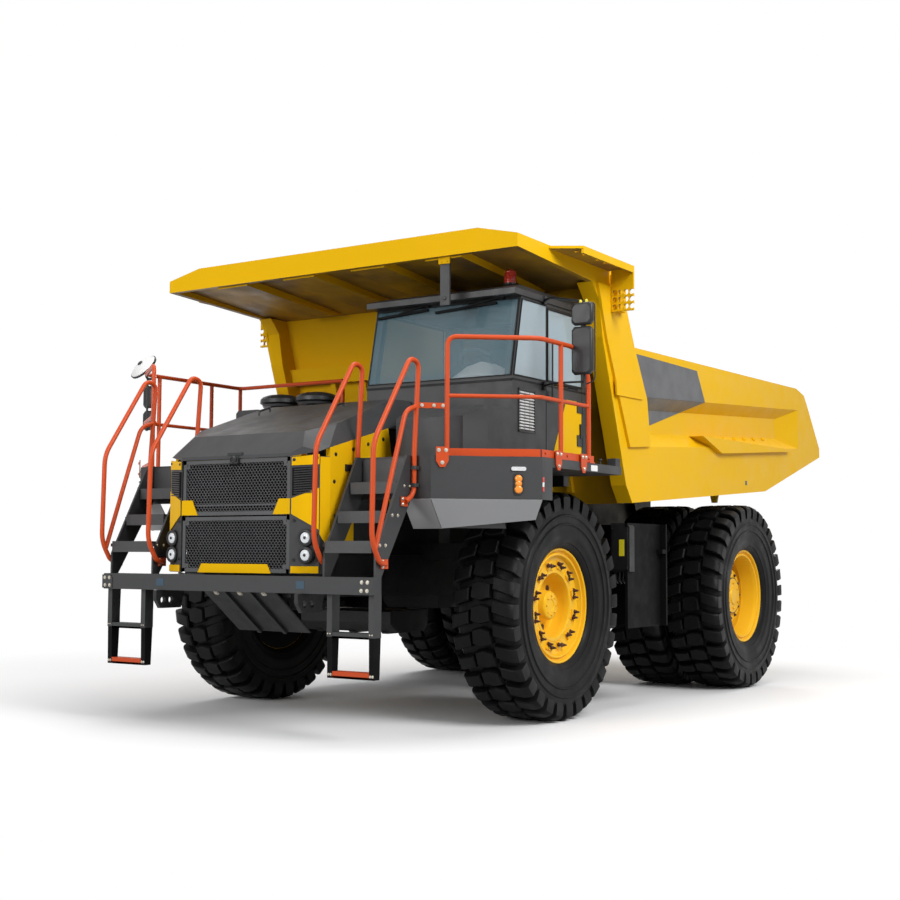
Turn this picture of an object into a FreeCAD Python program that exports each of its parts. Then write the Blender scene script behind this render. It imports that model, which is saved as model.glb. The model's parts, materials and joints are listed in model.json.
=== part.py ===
import FreeCAD, Part
import math
import os
import re
import Sketcher

# Off-highway rigid dump truck, millimetres.
# +X runs to the front bumper, +Y to the driver's left, +Z up, and the floor is Z = 0.
# Every piece is drawn from the front axle's centre line (X = 0) and the middle plane (Y = 0);
# the finished pieces are then placed front_axle_x ahead of the origin, which lies on the floor
# under the middle of the truck.

Vector = FreeCAD.Vector
doc = FreeCAD.newDocument("OffHighwayDumpTruck")

# ---------------------------------------------------------------------------------------------
# Driving dimensions
# ---------------------------------------------------------------------------------------------

DIMENSIONS = [
    ("front_axle_x", 2310, "front axle ahead of the origin"),
    ("wheel_base", 4200, "front axle to rear axle"),
    ("running_gap", 6, "between pieces that pass each other"),
    ("seat_gap", 0.3, "between pieces that rest on each other's curved faces"),
    ("pin_gap", 0.8, "round a pin"),
    # tyres, 24.00R35
    ("tyre_radius", 1087.5, "floor to axle centre"),
    ("tyre_width", 655, "over the sidewalls"),
    ("tread_width", 570, "over the tread"),
    ("shoulder_width", 612, "over the shoulders"),
    ("shoulder_radius", 985, "foot of the shoulders"),
    ("sidewall_radius", 815, "widest ring of the sidewalls"),
    ("groove_width", 130, "shoulder grooves, along the tread"),
    ("groove_depth", 58, "shoulder grooves at their inner ends"),
    ("groove_fall", 30, "further depth at the shoulder"),
    ("groove_reach", 205, "shoulder grooves, from the tread's edge inwards"),
    ("bead_radius", 445, "tyre's bore"),
    # rims
    ("rim_radius", 550, "outside of the rim's flange"),
    ("rim_width", 470, "over the rim's flanges"),
    ("rim_wall", 25, "rim's plate"),
    ("rim_lip", 45, "rim's flange, along the axle"),
    ("disc_depth", 105, "rim's flange to the bolted ring"),
    ("hub_recess_radius", 292, "recess inside the bolted ring"),
    ("hub_recess", 120, "depth of the recess"),
    ("hub_cap_radius", 118, "hub's cap"),
    ("hub_cap_reach", 10, "hub's cap behind the rim's flange"),
    ("hub_cap_depth", 130, "hub cap's face to the spindle's end"),
    ("final_drive_radius", 245, "rear hub's cap"),
    ("front_tyre_y", 1733, "middle plane of a front tyre"),
    ("outer_tyre_y", 1952, "middle plane of an outer rear tyre"),
    ("twin_spacing", 760, "between twin tyres"),
    # axles and struts
    ("spindle_radius", 95, "front spindle"),
    ("kingpin_y", 1150, "steering axis"),
    ("strut_radius", 125, "front strut's barrel"),
    ("strut_top_z", 2180, "head of the front strut"),
    ("strut_bottom_z", 1420, "foot of the front strut's barrel"),
    ("strut_rod_radius", 105, "front strut's rod"),
    ("strut_collar_z", 1600, "lower collars of the front struts"),
    ("strut_collar_top_z", 1990, "upper collars of the front struts"),
    ("strut_collar_height", 160, "collars of the front struts"),
    ("tower_web_half", 640, "half the cross beam's web"),
    ("tower_web_depth", 200, "cross beam's web along the truck"),
    ("steering_arm", 300, "steering arm behind the kingpin"),
    ("strut_rear_top_z", 1700, "head of the rear struts"),
    ("strut_rear_x", -4520, "rear struts behind the front axle"),
    ("strut_rear_radius", 90, "rear strut"),
    ("strut_seat", 60, "rear struts' seats"),
    ("axle_tube_radius", 215, "rear axle's tube"),
    ("banjo_radius", 430, "rear axle's middle housing"),
    ("banjo_half", 330, "half the middle housing's width"),
    ("axle_arm_length", 1300, "rear axle's arm ahead of its tube"),
    ("axle_arm_width", 230, "rear axle's arm"),
    # chassis rails
    ("rail_y", 430, "middle of a chassis rail"),
    ("rail_width", 150, "chassis rail across"),
    ("rail_top_front", 1560, "top of the rails at the front"),
    ("rail_top_rear", 1830, "top of the rails at the bed's pivot"),
    ("rail_depth", 430, "depth of the rails"),
    ("rail_front_depth", 370, "depth of the rails at the front"),
    ("rail_end_depth", 280, "depth of the rails at the rear"),
    ("rail_taper", 900, "length of the rails' rear taper"),
    ("rail_front_x", 2240, "front end of the rails"),
    ("rail_kink_x", -1000, "where the rails' slope begins"),
    ("rail_rear_x", -5020, "rear end of the rails"),
    ("cross_tube", 240, "cross members between the rails"),
    ("hanger_lap", 120, "hoists' hangers up the rails"),
    ("hanger_width", 110, "hoists' hangers across"),
    ("collar_wall", 35, "wall of the strut collars"),
    # bed pivot and hoists
    ("pivot_x", -4900, "bed's pivot"),
    ("pivot_z", 1750, "bed's pivot"),
    ("pivot_pin_radius", 60, "bed's pivot pin"),
    ("pivot_lug", 70, "bed's pivot lugs across"),
    ("sill_width", 130, "sills under the bed's floor"),
    ("sill_setback", 100, "sills behind the front wall"),
    ("hoist_y", 640, "middle plane of a hoist"),
    ("hoist_foot_x", -3100, "hoist's lower pin"),
    ("hoist_foot_z", 900, "hoist's lower pin"),
    ("hoist_eye_x", -2900, "hoist's upper pin"),
    ("hoist_eye_z", 2000, "hoist's upper pin"),
    ("hoist_barrel_radius", 110, "hoist's barrel"),
    ("hoist_sleeve_radius", 85, "hoist's first stage"),
    ("hoist_rod_radius", 62, "hoist's second stage"),
    ("hoist_eye_radius", 85, "hoist's eyes"),
    ("hoist_pin_radius", 40, "hoist's pins"),
    ("hoist_eye_width", 150, "hoist's eyes across"),
    ("hoist_bracket", 30, "plates beside a hoist's eyes"),
    # bed
    ("bed_half_width", 2150, "outside of the bed's walls"),
    ("bed_wall", 170, "thickness of a bed wall"),
    ("bed_floor_plate", 120, "floor plate with its bolsters"),
    ("bed_foot_x", -1210, "front of the walls' lower edge"),
    ("bed_front_z", 2105, "bottom of the bed at the front"),
    ("bed_kink_x", -5050, "where the tail turns up"),
    ("bed_kink_z", 2375, "bottom of the bed at the tail's kink"),
    ("bed_tail_x", -7180, "tip of the tail"),
    ("bed_tail_z", 2930, "tip of the tail"),
    ("bed_end_x", -6680, "rear end of the walls' top"),
    ("bed_end_z", 3620, "rear end of the walls' top"),
    ("bed_rail_rear_x", -6260, "rear end of the walls' straight top"),
    ("bed_rail_rear_z", 3800, "top of the walls at the rear"),
    ("bed_end_corner", 115, "rounded rear corner of the walls' top"),
    ("bed_rail_front_z", 3720, "top of the walls at the front"),
    ("rail_beam_depth", 490, "depth of the walls' top beam at the post"),
    ("ledge_front_z", 2710, "outer edge of the ledge at the post"),
    ("ledge_rise", 140, "ledge from its outer to its inner edge"),
    ("recess_margin", -60, "front end of the recess from the post's knee"),
    ("recess_depth", 125, "recess between the top beam and the ledge"),
    ("recess_rise", 0.06, "slope of the recess towards the rear"),
    ("recess_rear_x", -6020, "rear end of the recess at the top beam"),
    ("recess_slope", 280, "rear end of the recess along the wall"),
    ("shelf_front_x", -2930, "front end of the shelf on the ledge"),
    ("shelf_front_z", 2920, "front end of the shelf"),
    ("shelf_knee_x", -3500, "lowest corner of the shelf"),
    ("shelf_knee_z", 2755, "lowest corner of the shelf"),
    ("shelf_rear_x", -5800, "rear end of the shelf"),
    ("shelf_rear_z", 2920, "rear end of the shelf"),
    ("shelf_reach", 60, "shelf outside the wall"),
    ("post_proud", 30, "corner post outside the wall"),
    ("post_edge", 40, "flange ahead of the proud face"),
    ("post_waist_x", -1220, "rear edge of a corner post at the top beam"),
    ("post_knee_x", -1520, "rear edge of a corner post at its knee"),
    ("post_knee_z", 3200, "rear edge of a corner post at its knee"),
    ("post_ankle_x", -1600, "rear edge of a corner post at the ledge"),
    ("post_throat_x", -480, "front edge of a corner post under the canopy"),
    ("post_throat_z", 4100, "front edge of a corner post under the canopy"),
    ("post_foot_x", -1070, "front of a corner post above the chamfer"),
    ("post_foot_z", 2280, "top of the chamfer"),
    ("post_bend_x", -550, "bend in the post's front edge"),
    ("post_bend_z", 3740, "bend in the post's front edge"),
    ("post_head_x", -330, "front of a corner post at the canopy"),
    ("post_head_rear_x", -950, "rear of a corner post at the canopy"),
    ("bed_front_x", -1300, "bottom of the bed's front wall"),
    ("bed_front_wall", 60, "front wall's thickness"),
    ("front_beam_z", 3520, "lower edge of the beam across the front wall"),
    ("front_beam_height", 180, "beam across the front wall"),
    ("front_beam_depth", 110, "beam across the front wall"),
    ("front_rib", 60, "ribs of the front wall"),
    ("front_rib_y", 1430, "outer ribs of the front wall"),
    ("front_rib_pitch", 430, "between the front wall's ribs"),
    # canopy
    ("canopy_fold_x", -620, "fold between the front wall and the canopy"),
    ("canopy_fold_z", 4260, "underside of the canopy at the fold"),
    ("canopy_lip_x", 1120, "canopy's front edge"),
    ("canopy_lip_z", 4395, "underside of the canopy at the lip"),
    ("canopy_lip_top", 4555, "top of the canopy's lip"),
    ("canopy_lip_plate", 60, "lip's thickness"),
    ("canopy_flat_half", 1726, "half the straight part of the lip"),
    ("canopy_corner_drop", 97, "fall of the lip to its corners"),
    ("canopy_plate", 40, "canopy's plate"),
    ("canopy_side", 60, "thickness of the canopy's side beams"),
    ("canopy_rib_y", 430, "middle of the inner ribs"),
    ("canopy_rib_pitch", 880, "between the ribs"),
    ("canopy_rib_width", 400, "ribs across"),
    ("canopy_rib_depth", 75, "ribs below the canopy"),
    ("wing_half_width", 2430, "outer edge of the spill wings"),
    ("wing_front_x", 550, "front of the spill wings"),
    ("wing_full_x", 380, "where the wings reach their width"),
    ("wing_rear_x", -700, "rear plate of the spill wings"),
    ("wing_top", 4445, "top of the spill wings"),
    ("wing_drop", 445, "depth of the wings' rear plates"),
    ("wing_plate", 25, "spill wings' plate"),
    ("wing_rim", 70, "depth of the wings' outer rim"),
    # decks
    ("deck_over_tyre", 165, "decks above the front tyres"),
    ("deck_plate", 80, "depth of the deck's edge"),
    ("deck_front_x", 1880, "front edge beside the hood"),
    ("deck_inner_y", 920, "inner edge beside the hood"),
    ("deck_step_y", 1740, "where the front edge begins to sweep back"),
    ("deck_corner_x", 1200, "outer front corner"),
    ("deck_half_width", 2450, "outer edge"),
    ("deck_rear_x", -350, "rear edge"),
    ("apron_plate", 20, "apron under the deck's front edge"),
    ("apron_height", 290, "upright apron"),
    ("apron_lip", 250, "height of the sloping apron"),
    ("apron_end_x", 1480, "outer end of the sloping apron"),
    ("apron_end_y", 2150, "outer end of the sloping apron"),
    ("apron_slope", 170, "sloping apron, set back at its foot"),
    ("apron_return", 180, "apron round the outer corner"),
    ("walkway_front_x", 880, "front of the walkway between the hood and the bed"),
    ("deck_beam", 100, "beams under the decks"),
    ("deck_beam_front_x", 1500, "front beam under the decks"),
    ("deck_beam_rear_x", -300, "rear beam under the decks"),
    ("deck_beam_end_y", 1900, "ends of the beams"),
    # hood
    ("hood_front_x", 2430, "nose"),
    ("hood_nose_half", 640, "half the nose's width"),
    ("hood_nose_z", 2445, "lower edge of the nose"),
    ("hood_crease_x", 2256, "crease above the nose"),
    ("hood_crease_z", 2648, "crease above the nose"),
    ("hood_crease_half", 656, "half the crease's length"),
    ("hood_shoulder_x", 2015, "front end of the top's side edges"),
    ("hood_shoulder_z", 2725, "front end of the top's side edges"),
    ("hood_top_half", 822, "half the width of the top"),
    ("hood_top_x", 1120, "end of the top's slope"),
    ("hood_top_z", 3030, "rear top"),
    ("hood_rear_x", 890, "rear end"),
    ("hood_half_width", 920, "outside of the side panels"),
    ("hood_side_x", 2230, "front edge of the side panels"),
    ("hood_side_z", 2495, "front end of the side panels' top edge"),
    ("hood_side_rise", 235, "rise of the side panels' top edge"),
    ("hood_side_rear_x", 1370, "rear edge of the side panels"),
    ("hood_side_rake", 80, "rear edge of the side panels, forward at the deck"),
    ("hood_side_bottom_z", 1600, "lower edge of the side panels"),
    ("hood_corner_x", 2320, "edge of the lamp panels"),
    ("hood_corner_y", 880, "edge of the lamp panels"),
    ("hood_corner_z", 2507, "corner facets beside the crease, at the edge of the lamp panels"),
    ("hood_bottom_z", 1400, "lower edge of the grille and the lamp panels"),
    ("hood_plate", 30, "hood's panels"),
    ("grille_split_z", 1900, "seam between the upper and the lower grille"),
    ("grille_frame", 45, "grille's frame"),
    ("grille_bar", 10, "grille's bars"),
    ("grille_pitch", 48, "between the grille's bars"),
    ("lamp_radius", 62, "head lamps"),
    ("lamp_x", 2395, "lenses of the head lamps"),
    ("lamp_y", 780, "middle of the head lamps"),
    ("lamp_reach", 90, "head lamps' barrels"),
    ("lamp_z", 1710, "upper head lamps"),
    ("lamp_pitch", 155, "between the head lamps"),
    ("intake_x", 500, "air intakes"),
    ("intake_y", 620, "inner air intake"),
    ("intake_pitch", 480, "between the air intakes"),
    ("intake_radius", 225, "caps of the air intakes"),
    ("intake_pipe_radius", 110, "pipes of the air intakes"),
    ("intake_height", 640, "pipes of the air intakes above the deck"),
    ("intake_cap", 110, "caps of the air intakes"),
    ("engine_length", 1400, "engine block"),
    ("engine_height", 980, "engine block"),
    ("engine_rear_x", 560, "rear of the engine block"),
    ("engine_bottom_z", 1330, "underside of the engine block"),
    # bumper, ladders, stairs
    ("bumper_front_x", 2500, "bumper's face"),
    ("bumper_half_width", 1560, "half the bumper's length"),
    ("bumper_bottom_z", 1235, "bumper's lower edge"),
    ("bumper_height", 145, "bumper's face"),
    ("bumper_depth", 160, "bumper's depth"),
    ("skid_half_width", 420, "half the skid plate's width"),
    ("skid_foot_x", 1840, "skid plate's lower edge"),
    ("skid_foot_z", 860, "skid plate's lower edge"),
    ("skid_plate", 25, "skid plate"),
    ("tow_plate_y", 830, "tow plates"),
    ("tow_plate", 40, "tow plates' thickness"),
    ("tow_plate_reach", 60, "tow plates ahead of the bumper"),
    ("tow_plate_depth", 165, "tow plates below the bumper"),
    ("tow_eye_radius", 32, "tow plates' holes"),
    ("tow_eye_x", 2470, "front hole of a tow plate"),
    ("tow_eye_pitch", 100, "between a tow plate's holes"),
    ("tow_eye_z", 1145, "tow plates' holes"),
    ("ladder_inner_y", 1070, "inner edge of a boarding ladder"),
    ("ladder_outer_y", 1559, "outer edge of a boarding ladder"),
    ("ladder_strap", 90, "ladder's straps, along the truck"),
    ("ladder_strap_plate", 22, "ladder's straps, thickness"),
    ("ladder_front_x", 2440, "ladder's front"),
    ("ladder_mid_z", 900, "ladder's upper step"),
    ("ladder_bottom_z", 575, "ladder's lower step"),
    ("ladder_step", 110, "ladder's steps, front to back"),
    ("ladder_step_plate", 40, "ladder's steps"),
    ("stair_inner_y", 1000, "inner stringer"),
    ("stair_outer_y", 1560, "outer stringer"),
    ("stair_plate", 22, "stringers' plate"),
    ("stair_top_x", 1888, "stringers' heads"),
    ("stair_head", 90, "stringers' heads"),
    ("stair_depth", 330, "stringers' rear edge"),
    ("stair_foot", 80, "stringers' feet behind the bumper's face"),
    ("stair_foot_height", 190, "stringers' feet"),
    ("stair_tread", 185, "treads, front to back"),
    ("stair_tread_plate", 30, "treads"),
    ("stair_top_z", 2140, "upper tread"),
    ("stair_rise", 255, "between treads"),
    ("stair_going", 175, "between treads"),
    # hand rails
    ("rail_tube", 22, "hand rails' tube radius"),
    ("rail_post", 24, "rail posts' radius"),
    ("rail_bend", 45, "bends of the stair rails"),
    ("rail_height", 1050, "hand rails above the deck"),
    ("mid_rail_height", 530, "middle rails above the deck"),
    ("rail_inner_x", 1690, "foot of the deck rail beside the stairs"),
    ("rail_inner_y", 1777, "foot of the deck rail beside the stairs"),
    ("rail_corner_x", 1180, "outer front corner of the deck rail"),
    ("rail_side_y", 2415, "deck rail along the side"),
    ("rail_post_x", 800, "post along the side"),
    ("rail_end_x", 265, "last post along the side"),
    ("rail_slope_x", 535, "where the left rail turns down"),
    ("rail_end_height", 820, "top of the left rail's last post"),
    ("rail_right_end_x", -320, "rear corner of the right deck's rail"),
    ("loop_rear_x", 1850, "upper foot of the stair rails"),
    ("loop_head_x", 1955, "head of the stair rails"),
    ("loop_head_z", 3260, "head of the stair rails"),
    ("loop_kink_z", 2500, "bend above the bumper"),
    ("loop_front_x", 2500, "stair rails' front"),
    ("loop_foot_z", 1700, "lower bend"),
    ("loop_brace_z", 2860, "brace of the outer stair rails"),
    # cab
    ("cab_inner_y", 300, "cab's side towards the middle"),
    ("cab_outer_y", 1950, "cab's door side"),
    ("cab_front_x", 870, "foot of the windscreen"),
    ("cab_screen_top_x", 710, "head of the windscreen"),
    ("cab_rear_x", -600, "cab's rear wall"),
    ("cab_sill_z", 3190, "foot of the windscreen"),
    ("cab_head_z", 3970, "head of the windscreen"),
    ("cab_roof_z", 4075, "roof"),
    ("cab_roof_reach", 20, "roof over the walls"),
    ("cab_roof_chamfer", 50, "roof's sloping edge"),
    ("cab_visor", 150, "roof ahead of the windscreen's head"),
    ("cab_wall", 70, "cab's walls and pillars"),
    ("cab_pillar", 90, "pillars beside the windows"),
    ("window_edge", 30, "windows from the sill and the head"),
    ("glass_thickness", 8, "windows"),
    ("door_front_x", 240, "door's front edge"),
    ("door_rear_x", -490, "door's rear edge"),
    ("door_sill", 110, "door above the deck"),
    ("door_gap", 6, "gap round the door"),
    ("door_frame", 70, "frame round the door's window"),
    ("hinge_radius", 14, "door's hinges"),
    ("hinge_length", 110, "door's hinges"),
    ("fairing_front_x", 1500, "fairing ahead of the cab"),
    ("fairing_inner_y", 1100, "fairing ahead of the cab"),
    ("fairing_outer_y", 1820, "fairing ahead of the cab"),
    ("fairing_step_z", 2790, "foot of the fairing's sloping face"),
    ("fairing_top_z", 2900, "fairing's top"),
    ("fairing_slope", 200, "fairing's sloping face along the truck"),
    ("seat_x", -130, "middle of the seat's cushion"),
    ("seat_y", 1200, "middle of the driver's seat"),
    ("seat_width", 500, "driver's seat"),
    ("seat_depth", 500, "seat's cushion along the truck"),
    ("seat_height", 380, "seat's base"),
    ("seat_pad", 120, "seat's pads"),
    ("seat_back_height", 800, "seat's back"),
    ("console_x", 500, "console's rear face"),
    ("console_height", 620, "console above the floor"),
    ("column_radius", 35, "steering column"),
    ("column_run", 400, "steering column's length"),
    ("column_lean", 0.75, "steering column's rearward lean"),
    ("wheel_radius", 210, "steering wheel"),
    ("wheel_rim", 16, "steering wheel's rim, half its thickness"),
    # mirrors, tanks, mud flaps
    ("mirror_width", 200, "mirrors across"),
    ("mirror_arm", 45, "mirrors' arms"),
    ("mirror_depth", 60, "mirrors' housings"),
    ("mirror_left_x", 520, "left mirrors"),
    ("mirror_left_z", 3250, "lower edge of the left mirror"),
    ("mirror_left_height", 570, "left mirrors together"),
    ("mirror_right_x", 1060, "right mirrors"),
    ("mirror_right_z", 2860, "lower edge of the right mirrors"),
    ("mirror_right_height", 850, "right mirrors together"),
    ("tank_front_x", -1600, "side tanks"),
    ("tank_length", 650, "side tanks"),
    ("tank_width", 700, "side tanks"),
    ("tank_bottom_z", 950, "side tanks"),
    ("tank_height", 620, "side tanks"),
    ("tank_bulge", 70, "side tanks' bevels"),
    ("flap_x", -2060, "mud flaps ahead of the rear tyres"),
    ("flap_inner_y", 1300, "mud flaps"),
    ("flap_outer_y", 2150, "mud flaps"),
    ("flap_bottom_z", 820, "mud flaps"),
    ("flap_top_z", 1900, "mud flaps"),
    ("flap_plate", 30, "mud flaps"),
    ("flap_arm", 90, "mud flaps' arms"),
    ("panel_inner_y", 2050, "long panels ahead of the mud flaps"),
    ("panel_length", 700, "long panels ahead of the mud flaps"),
]

sheet = doc.addObject("Spreadsheet::Sheet", "dims")
for row, (alias, size, meaning) in enumerate(DIMENSIONS, start=1):
    sheet.set("A%d" % row, meaning)
    sheet.set("B%d" % row, str(size))
    sheet.setAlias("B%d" % row, alias)
ALIASES = {alias for alias, size, meaning in DIMENSIONS}
doc.recompute()


# ---------------------------------------------------------------------------------------------
# Helpers: objects whose sizes and places are formulas on the sheet
# ---------------------------------------------------------------------------------------------


def formula(text):
    """Point each dimension named in a formula at the sheet."""
    return re.sub(r"[a-z_]\w*", lambda word: ("dims." if word[0] in ALIASES else "") + word[0], str(text))


def bind(item, prop, text):
    item.setExpression(prop, formula(text))


def vector(point):
    return "vector(%s; %s; %s)" % tuple(point)


NO_TURN = "rotation(vector(0; 0; 1); 0)"
HALF_TURN = "rotation(vector(0; 0; 1); 180)"


def place(item, point, turn=NO_TURN):
    bind(item, "Placement", "placement(%s; %s)" % (vector(point), turn))


def box(name, start, size):
    """Block from its lowest corner."""
    block = doc.addObject("Part::Box", name)
    for prop, text in zip(("Length", "Width", "Height"), size):
        bind(block, prop, text)
    place(block, start)
    return block


def span(start, end):
    """Formulas for the vector from one point to another."""
    return ["(%s) - (%s)" % (b, a) for a, b in zip(start, end)]


def along(run):
    """Turn that lays the Z axis along a vector."""
    return "rotation(vector(0; 0; 1); %s)" % vector(run)


def rod(name, start, end, radius):
    """Round bar between two points."""
    run = span(start, end)
    bar = doc.addObject("Part::Cylinder", name)
    bind(bar, "Radius", radius)
    bind(bar, "Height", "sqrt((%s)^2 + (%s)^2 + (%s)^2)" % tuple(run))
    place(bar, start, along(run))
    return bar


def bar(name, start, end, radius, sides):
    """Bar between two points with flat sides, its corners on the radius."""
    run = span(start, end)
    prism = doc.addObject("Part::Prism", name)
    prism.Polygon = sides
    bind(prism, "Circumradius", radius)
    bind(prism, "Height", "sqrt((%s)^2 + (%s)^2 + (%s)^2)" % tuple(run))
    place(prism, start, along(run))
    return prism


def post(name, point, height, radius, sides):
    """Upright bar with flat sides."""
    return bar(name, point, point[:2] + ("%s + %s" % (point[2], height),), radius, sides)


PLANES = {
    "xy": (FreeCAD.Rotation(), Vector(0, 0, 1), 2),
    "xz": (FreeCAD.Rotation(Vector(1, 0, 0), 90), Vector(0, 1, 0), 1),
    "yz": (FreeCAD.Rotation(0.5, 0.5, 0.5, 0.5), Vector(1, 0, 0), 0),
}
AXES = ("x", "y", "z")


def outline(name, plane, corners, at="0", closed=True):
    """Sketch in a main plane, every corner held by two formulas."""
    rotation, normal, axis = PLANES[plane]
    sketch = doc.addObject("Sketcher::SketchObject", name)
    sketch.Placement = FreeCAD.Placement(Vector(), rotation)
    bind(sketch, "Placement.Base." + AXES[axis], at)
    count = len(corners)
    ring = [Vector(100 * math.cos(2 * math.pi * i / count), 100 * math.sin(2 * math.pi * i / count), 0)
            for i in range(count)]
    lines = count if closed else count - 1
    for i in range(lines):
        sketch.addGeometry(Part.LineSegment(ring[i], ring[(i + 1) % count]), False)
    for i in range(lines if closed else lines - 1):
        sketch.addConstraint(Sketcher.Constraint("Coincident", i, 2, (i + 1) % count, 1))
    for i, corner in enumerate(corners):
        line, end = (i, 1) if i < lines else (i - 1, 2)
        for kind, text in zip(("DistanceX", "DistanceY"), corner):
            held = sketch.addConstraint(Sketcher.Constraint(kind, -1, 1, line, end, 1.0))
            bind(sketch, "Constraints[%d]" % held, text)
    return sketch


def pipe(name, plane, corners, at, radius="rail_tube"):
    """Tube bent through a row of points in a main plane."""
    path = outline(name + "_path", plane, corners, at, closed=False)
    axis = PLANES[plane][2]
    ends = []
    for corner in corners[:2]:
        point = list(corner)
        point.insert(axis, at)
        ends.append(point)
    ring = doc.addObject("Part::RegularPolygon", name + "_ring")
    ring.Polygon = TUBE_SIDES
    bind(ring, "Circumradius", radius)
    place(ring, ends[0], along(span(*ends)))
    tube = doc.addObject("Part::Sweep", name)
    tube.Sections = [ring]
    tube.Spine = (path, ["Edge%d" % (i + 1) for i in range(len(corners) - 1)])
    tube.Solid = True
    tube.Transition = "Right corner"
    return tube


def slab(name, plane, corners, at, thickness):
    """Outline drawn out along its plane's normal."""
    base = outline(name + "_outline", plane, corners, at)
    plate = doc.addObject("Part::Extrusion", name)
    plate.Base = base
    plate.DirMode = "Custom"
    plate.Dir = PLANES[plane][1]
    plate.Solid = True
    bind(plate, "LengthFwd", thickness)
    return plate


def sloping(name, corners, front, rear, rise):
    """Cross section drawn out rearwards from one distance to another, rising as it goes."""
    body = slab(name, "yz", corners, front, "sqrt(1 + (%s)^2) * ((%s) - (%s))" % (rise, front, rear))
    bind(body, "Dir", vector(("-1", "0", rise)))
    return body


def common(name, pieces):
    return gathered("Part::MultiCommon", name, pieces)


def centred(name, plane, corners, middle, thickness):
    """Slab with its thickness half to each side of a plane."""
    return slab(name, plane, corners, "(%s) - (%s) / 2" % (middle, thickness), thickness)


def gathered(kind, name, shapes):
    joined = doc.addObject(kind, name)
    joined.Shapes = shapes
    joined.Refine = True
    return joined


def fuse(name, pieces):
    return gathered("Part::MultiFuse", name, pieces)


def cut(name, base, tool):
    rest = doc.addObject("Part::Cut", name)
    rest.Base = base
    rest.Tool = tool
    rest.Refine = True
    return rest


def mirrored(name, source):
    """The same piece on the truck's other side."""
    twin = doc.addObject("Part::Mirroring", name)
    twin.Source = source
    twin.Base = Vector()
    twin.Normal = Vector(0, 1, 0)
    return twin


def both(source):
    return [source, mirrored(source.Name + "_right", source)]


def both_sides(sources):
    pieces = []
    for source in sources:
        pieces += both(source)
    return pieces


def copy(name, source, point, turn=NO_TURN):
    """The same form again at another place."""
    twin = doc.addObject("Part::Compound", name)
    twin.Links = source if isinstance(source, list) else [source]
    place(twin, point, turn)
    return twin


def loft(name, sections):
    body = doc.addObject("Part::Loft", name)
    body.Sections = sections
    body.Solid = True
    body.Ruled = True
    return body


def around(turn):
    """Turn about the wheels' axis, in degrees."""
    return "rotation(vector(0; 1; 0); %g)" % turn


SIDES = 16
TUBE_SIDES = 8
ROUND_SIDES = 12
NODES = []


def node(label, pieces):
    """Finished piece: placed ahead of the origin and written to its own file."""
    whole = doc.addObject("Part::Compound", "node_" + label)
    whole.Links = pieces
    whole.Label = label
    bind(whole, "Placement.Base.x", "front_axle_x")
    NODES.append(whole)
    return whole


# Heights and lines that several pieces share.
DECK_TOP = "(2 * tyre_radius + deck_over_tyre + deck_plate)"
DECK_UNDER = "(2 * tyre_radius + deck_over_tyre)"
BUMPER_TOP = "(bumper_bottom_z + bumper_height)"
CAB_FLOOR = "(%s + cab_wall)" % DECK_TOP

# ---------------------------------------------------------------------------------------------
# Wheels
# ---------------------------------------------------------------------------------------------


def ring(name, profile, reach, grooves=()):
    """Flat-sided ring on the Y axis: one side drawn along X, mitred, then repeated round the axis."""
    straight = centred(name + "_straight", "yz", profile, "0", "tyre_radius")
    half = "2 * tyre_radius * tan(180 / %d)" % SIDES
    wedge = centred(name + "_mitre", "xz", [
        ("0", "0"),
        (half, "2 * tyre_radius"),
        ("-" + half, "2 * tyre_radius"),
    ], "0", "2 * (%s)" % reach)
    side = common(name + "_side", [straight, wedge])
    if grooves:
        side = cut(name + "_grooved", side, fuse(name + "_grooves", grooves))
    return fuse(name, [copy("%s%d" % (name, i), side, (0, 0, 0), around(360.0 / SIDES * i)) for i in range(SIDES)])


def tyre_form():
    """Tyre with staggered shoulder grooves, one pair to each flat of the tread."""
    half = [
        ("tread_width / 2", "tyre_radius"),
        ("shoulder_width / 2", "shoulder_radius"),
        ("tyre_width / 2", "sidewall_radius"),
        ("rim_width / 2", "rim_radius"),
        ("rim_width / 2 - rim_lip", "bead_radius"),
    ]
    groove = centred("tyre_groove", "yz", [
        ("tread_width / 2 - groove_reach", "tyre_radius + groove_depth"),
        ("tread_width / 2 - groove_reach", "tyre_radius - groove_depth"),
        ("tyre_width / 2", "tyre_radius - groove_depth - groove_fall"),
        ("tyre_width / 2", "tyre_radius + groove_depth"),
    ], "0", "groove_width")
    pitch = 180.0 / SIDES
    grooves = [groove] + [copy("tyre_groove%d" % i, groove, (0, 0, 0), around(turn) + " * " + HALF_TURN)
                          for i, turn in enumerate((-pitch, pitch))]
    return ring("tyre_form", half + [("-(%s)" % y, r) for y, r in reversed(half)], "tyre_width", grooves)


RING_FACE = "rim_width / 2 - disc_depth"
RECESS_FLOOR = RING_FACE + " - hub_recess"
CAP_FACE = "rim_width / 2 - hub_cap_reach"
BORE_END = CAP_FACE + " - hub_cap_depth"


def flange(middle, outward):
    """A rim's flange and bead seat, from its lip down, about the rim's middle plane."""
    return [(middle + " %s rim_width / 2" % outward, "rim_radius"),
            (middle + " %s (rim_width / 2 - rim_lip)" % outward, "bead_radius")]


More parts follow.
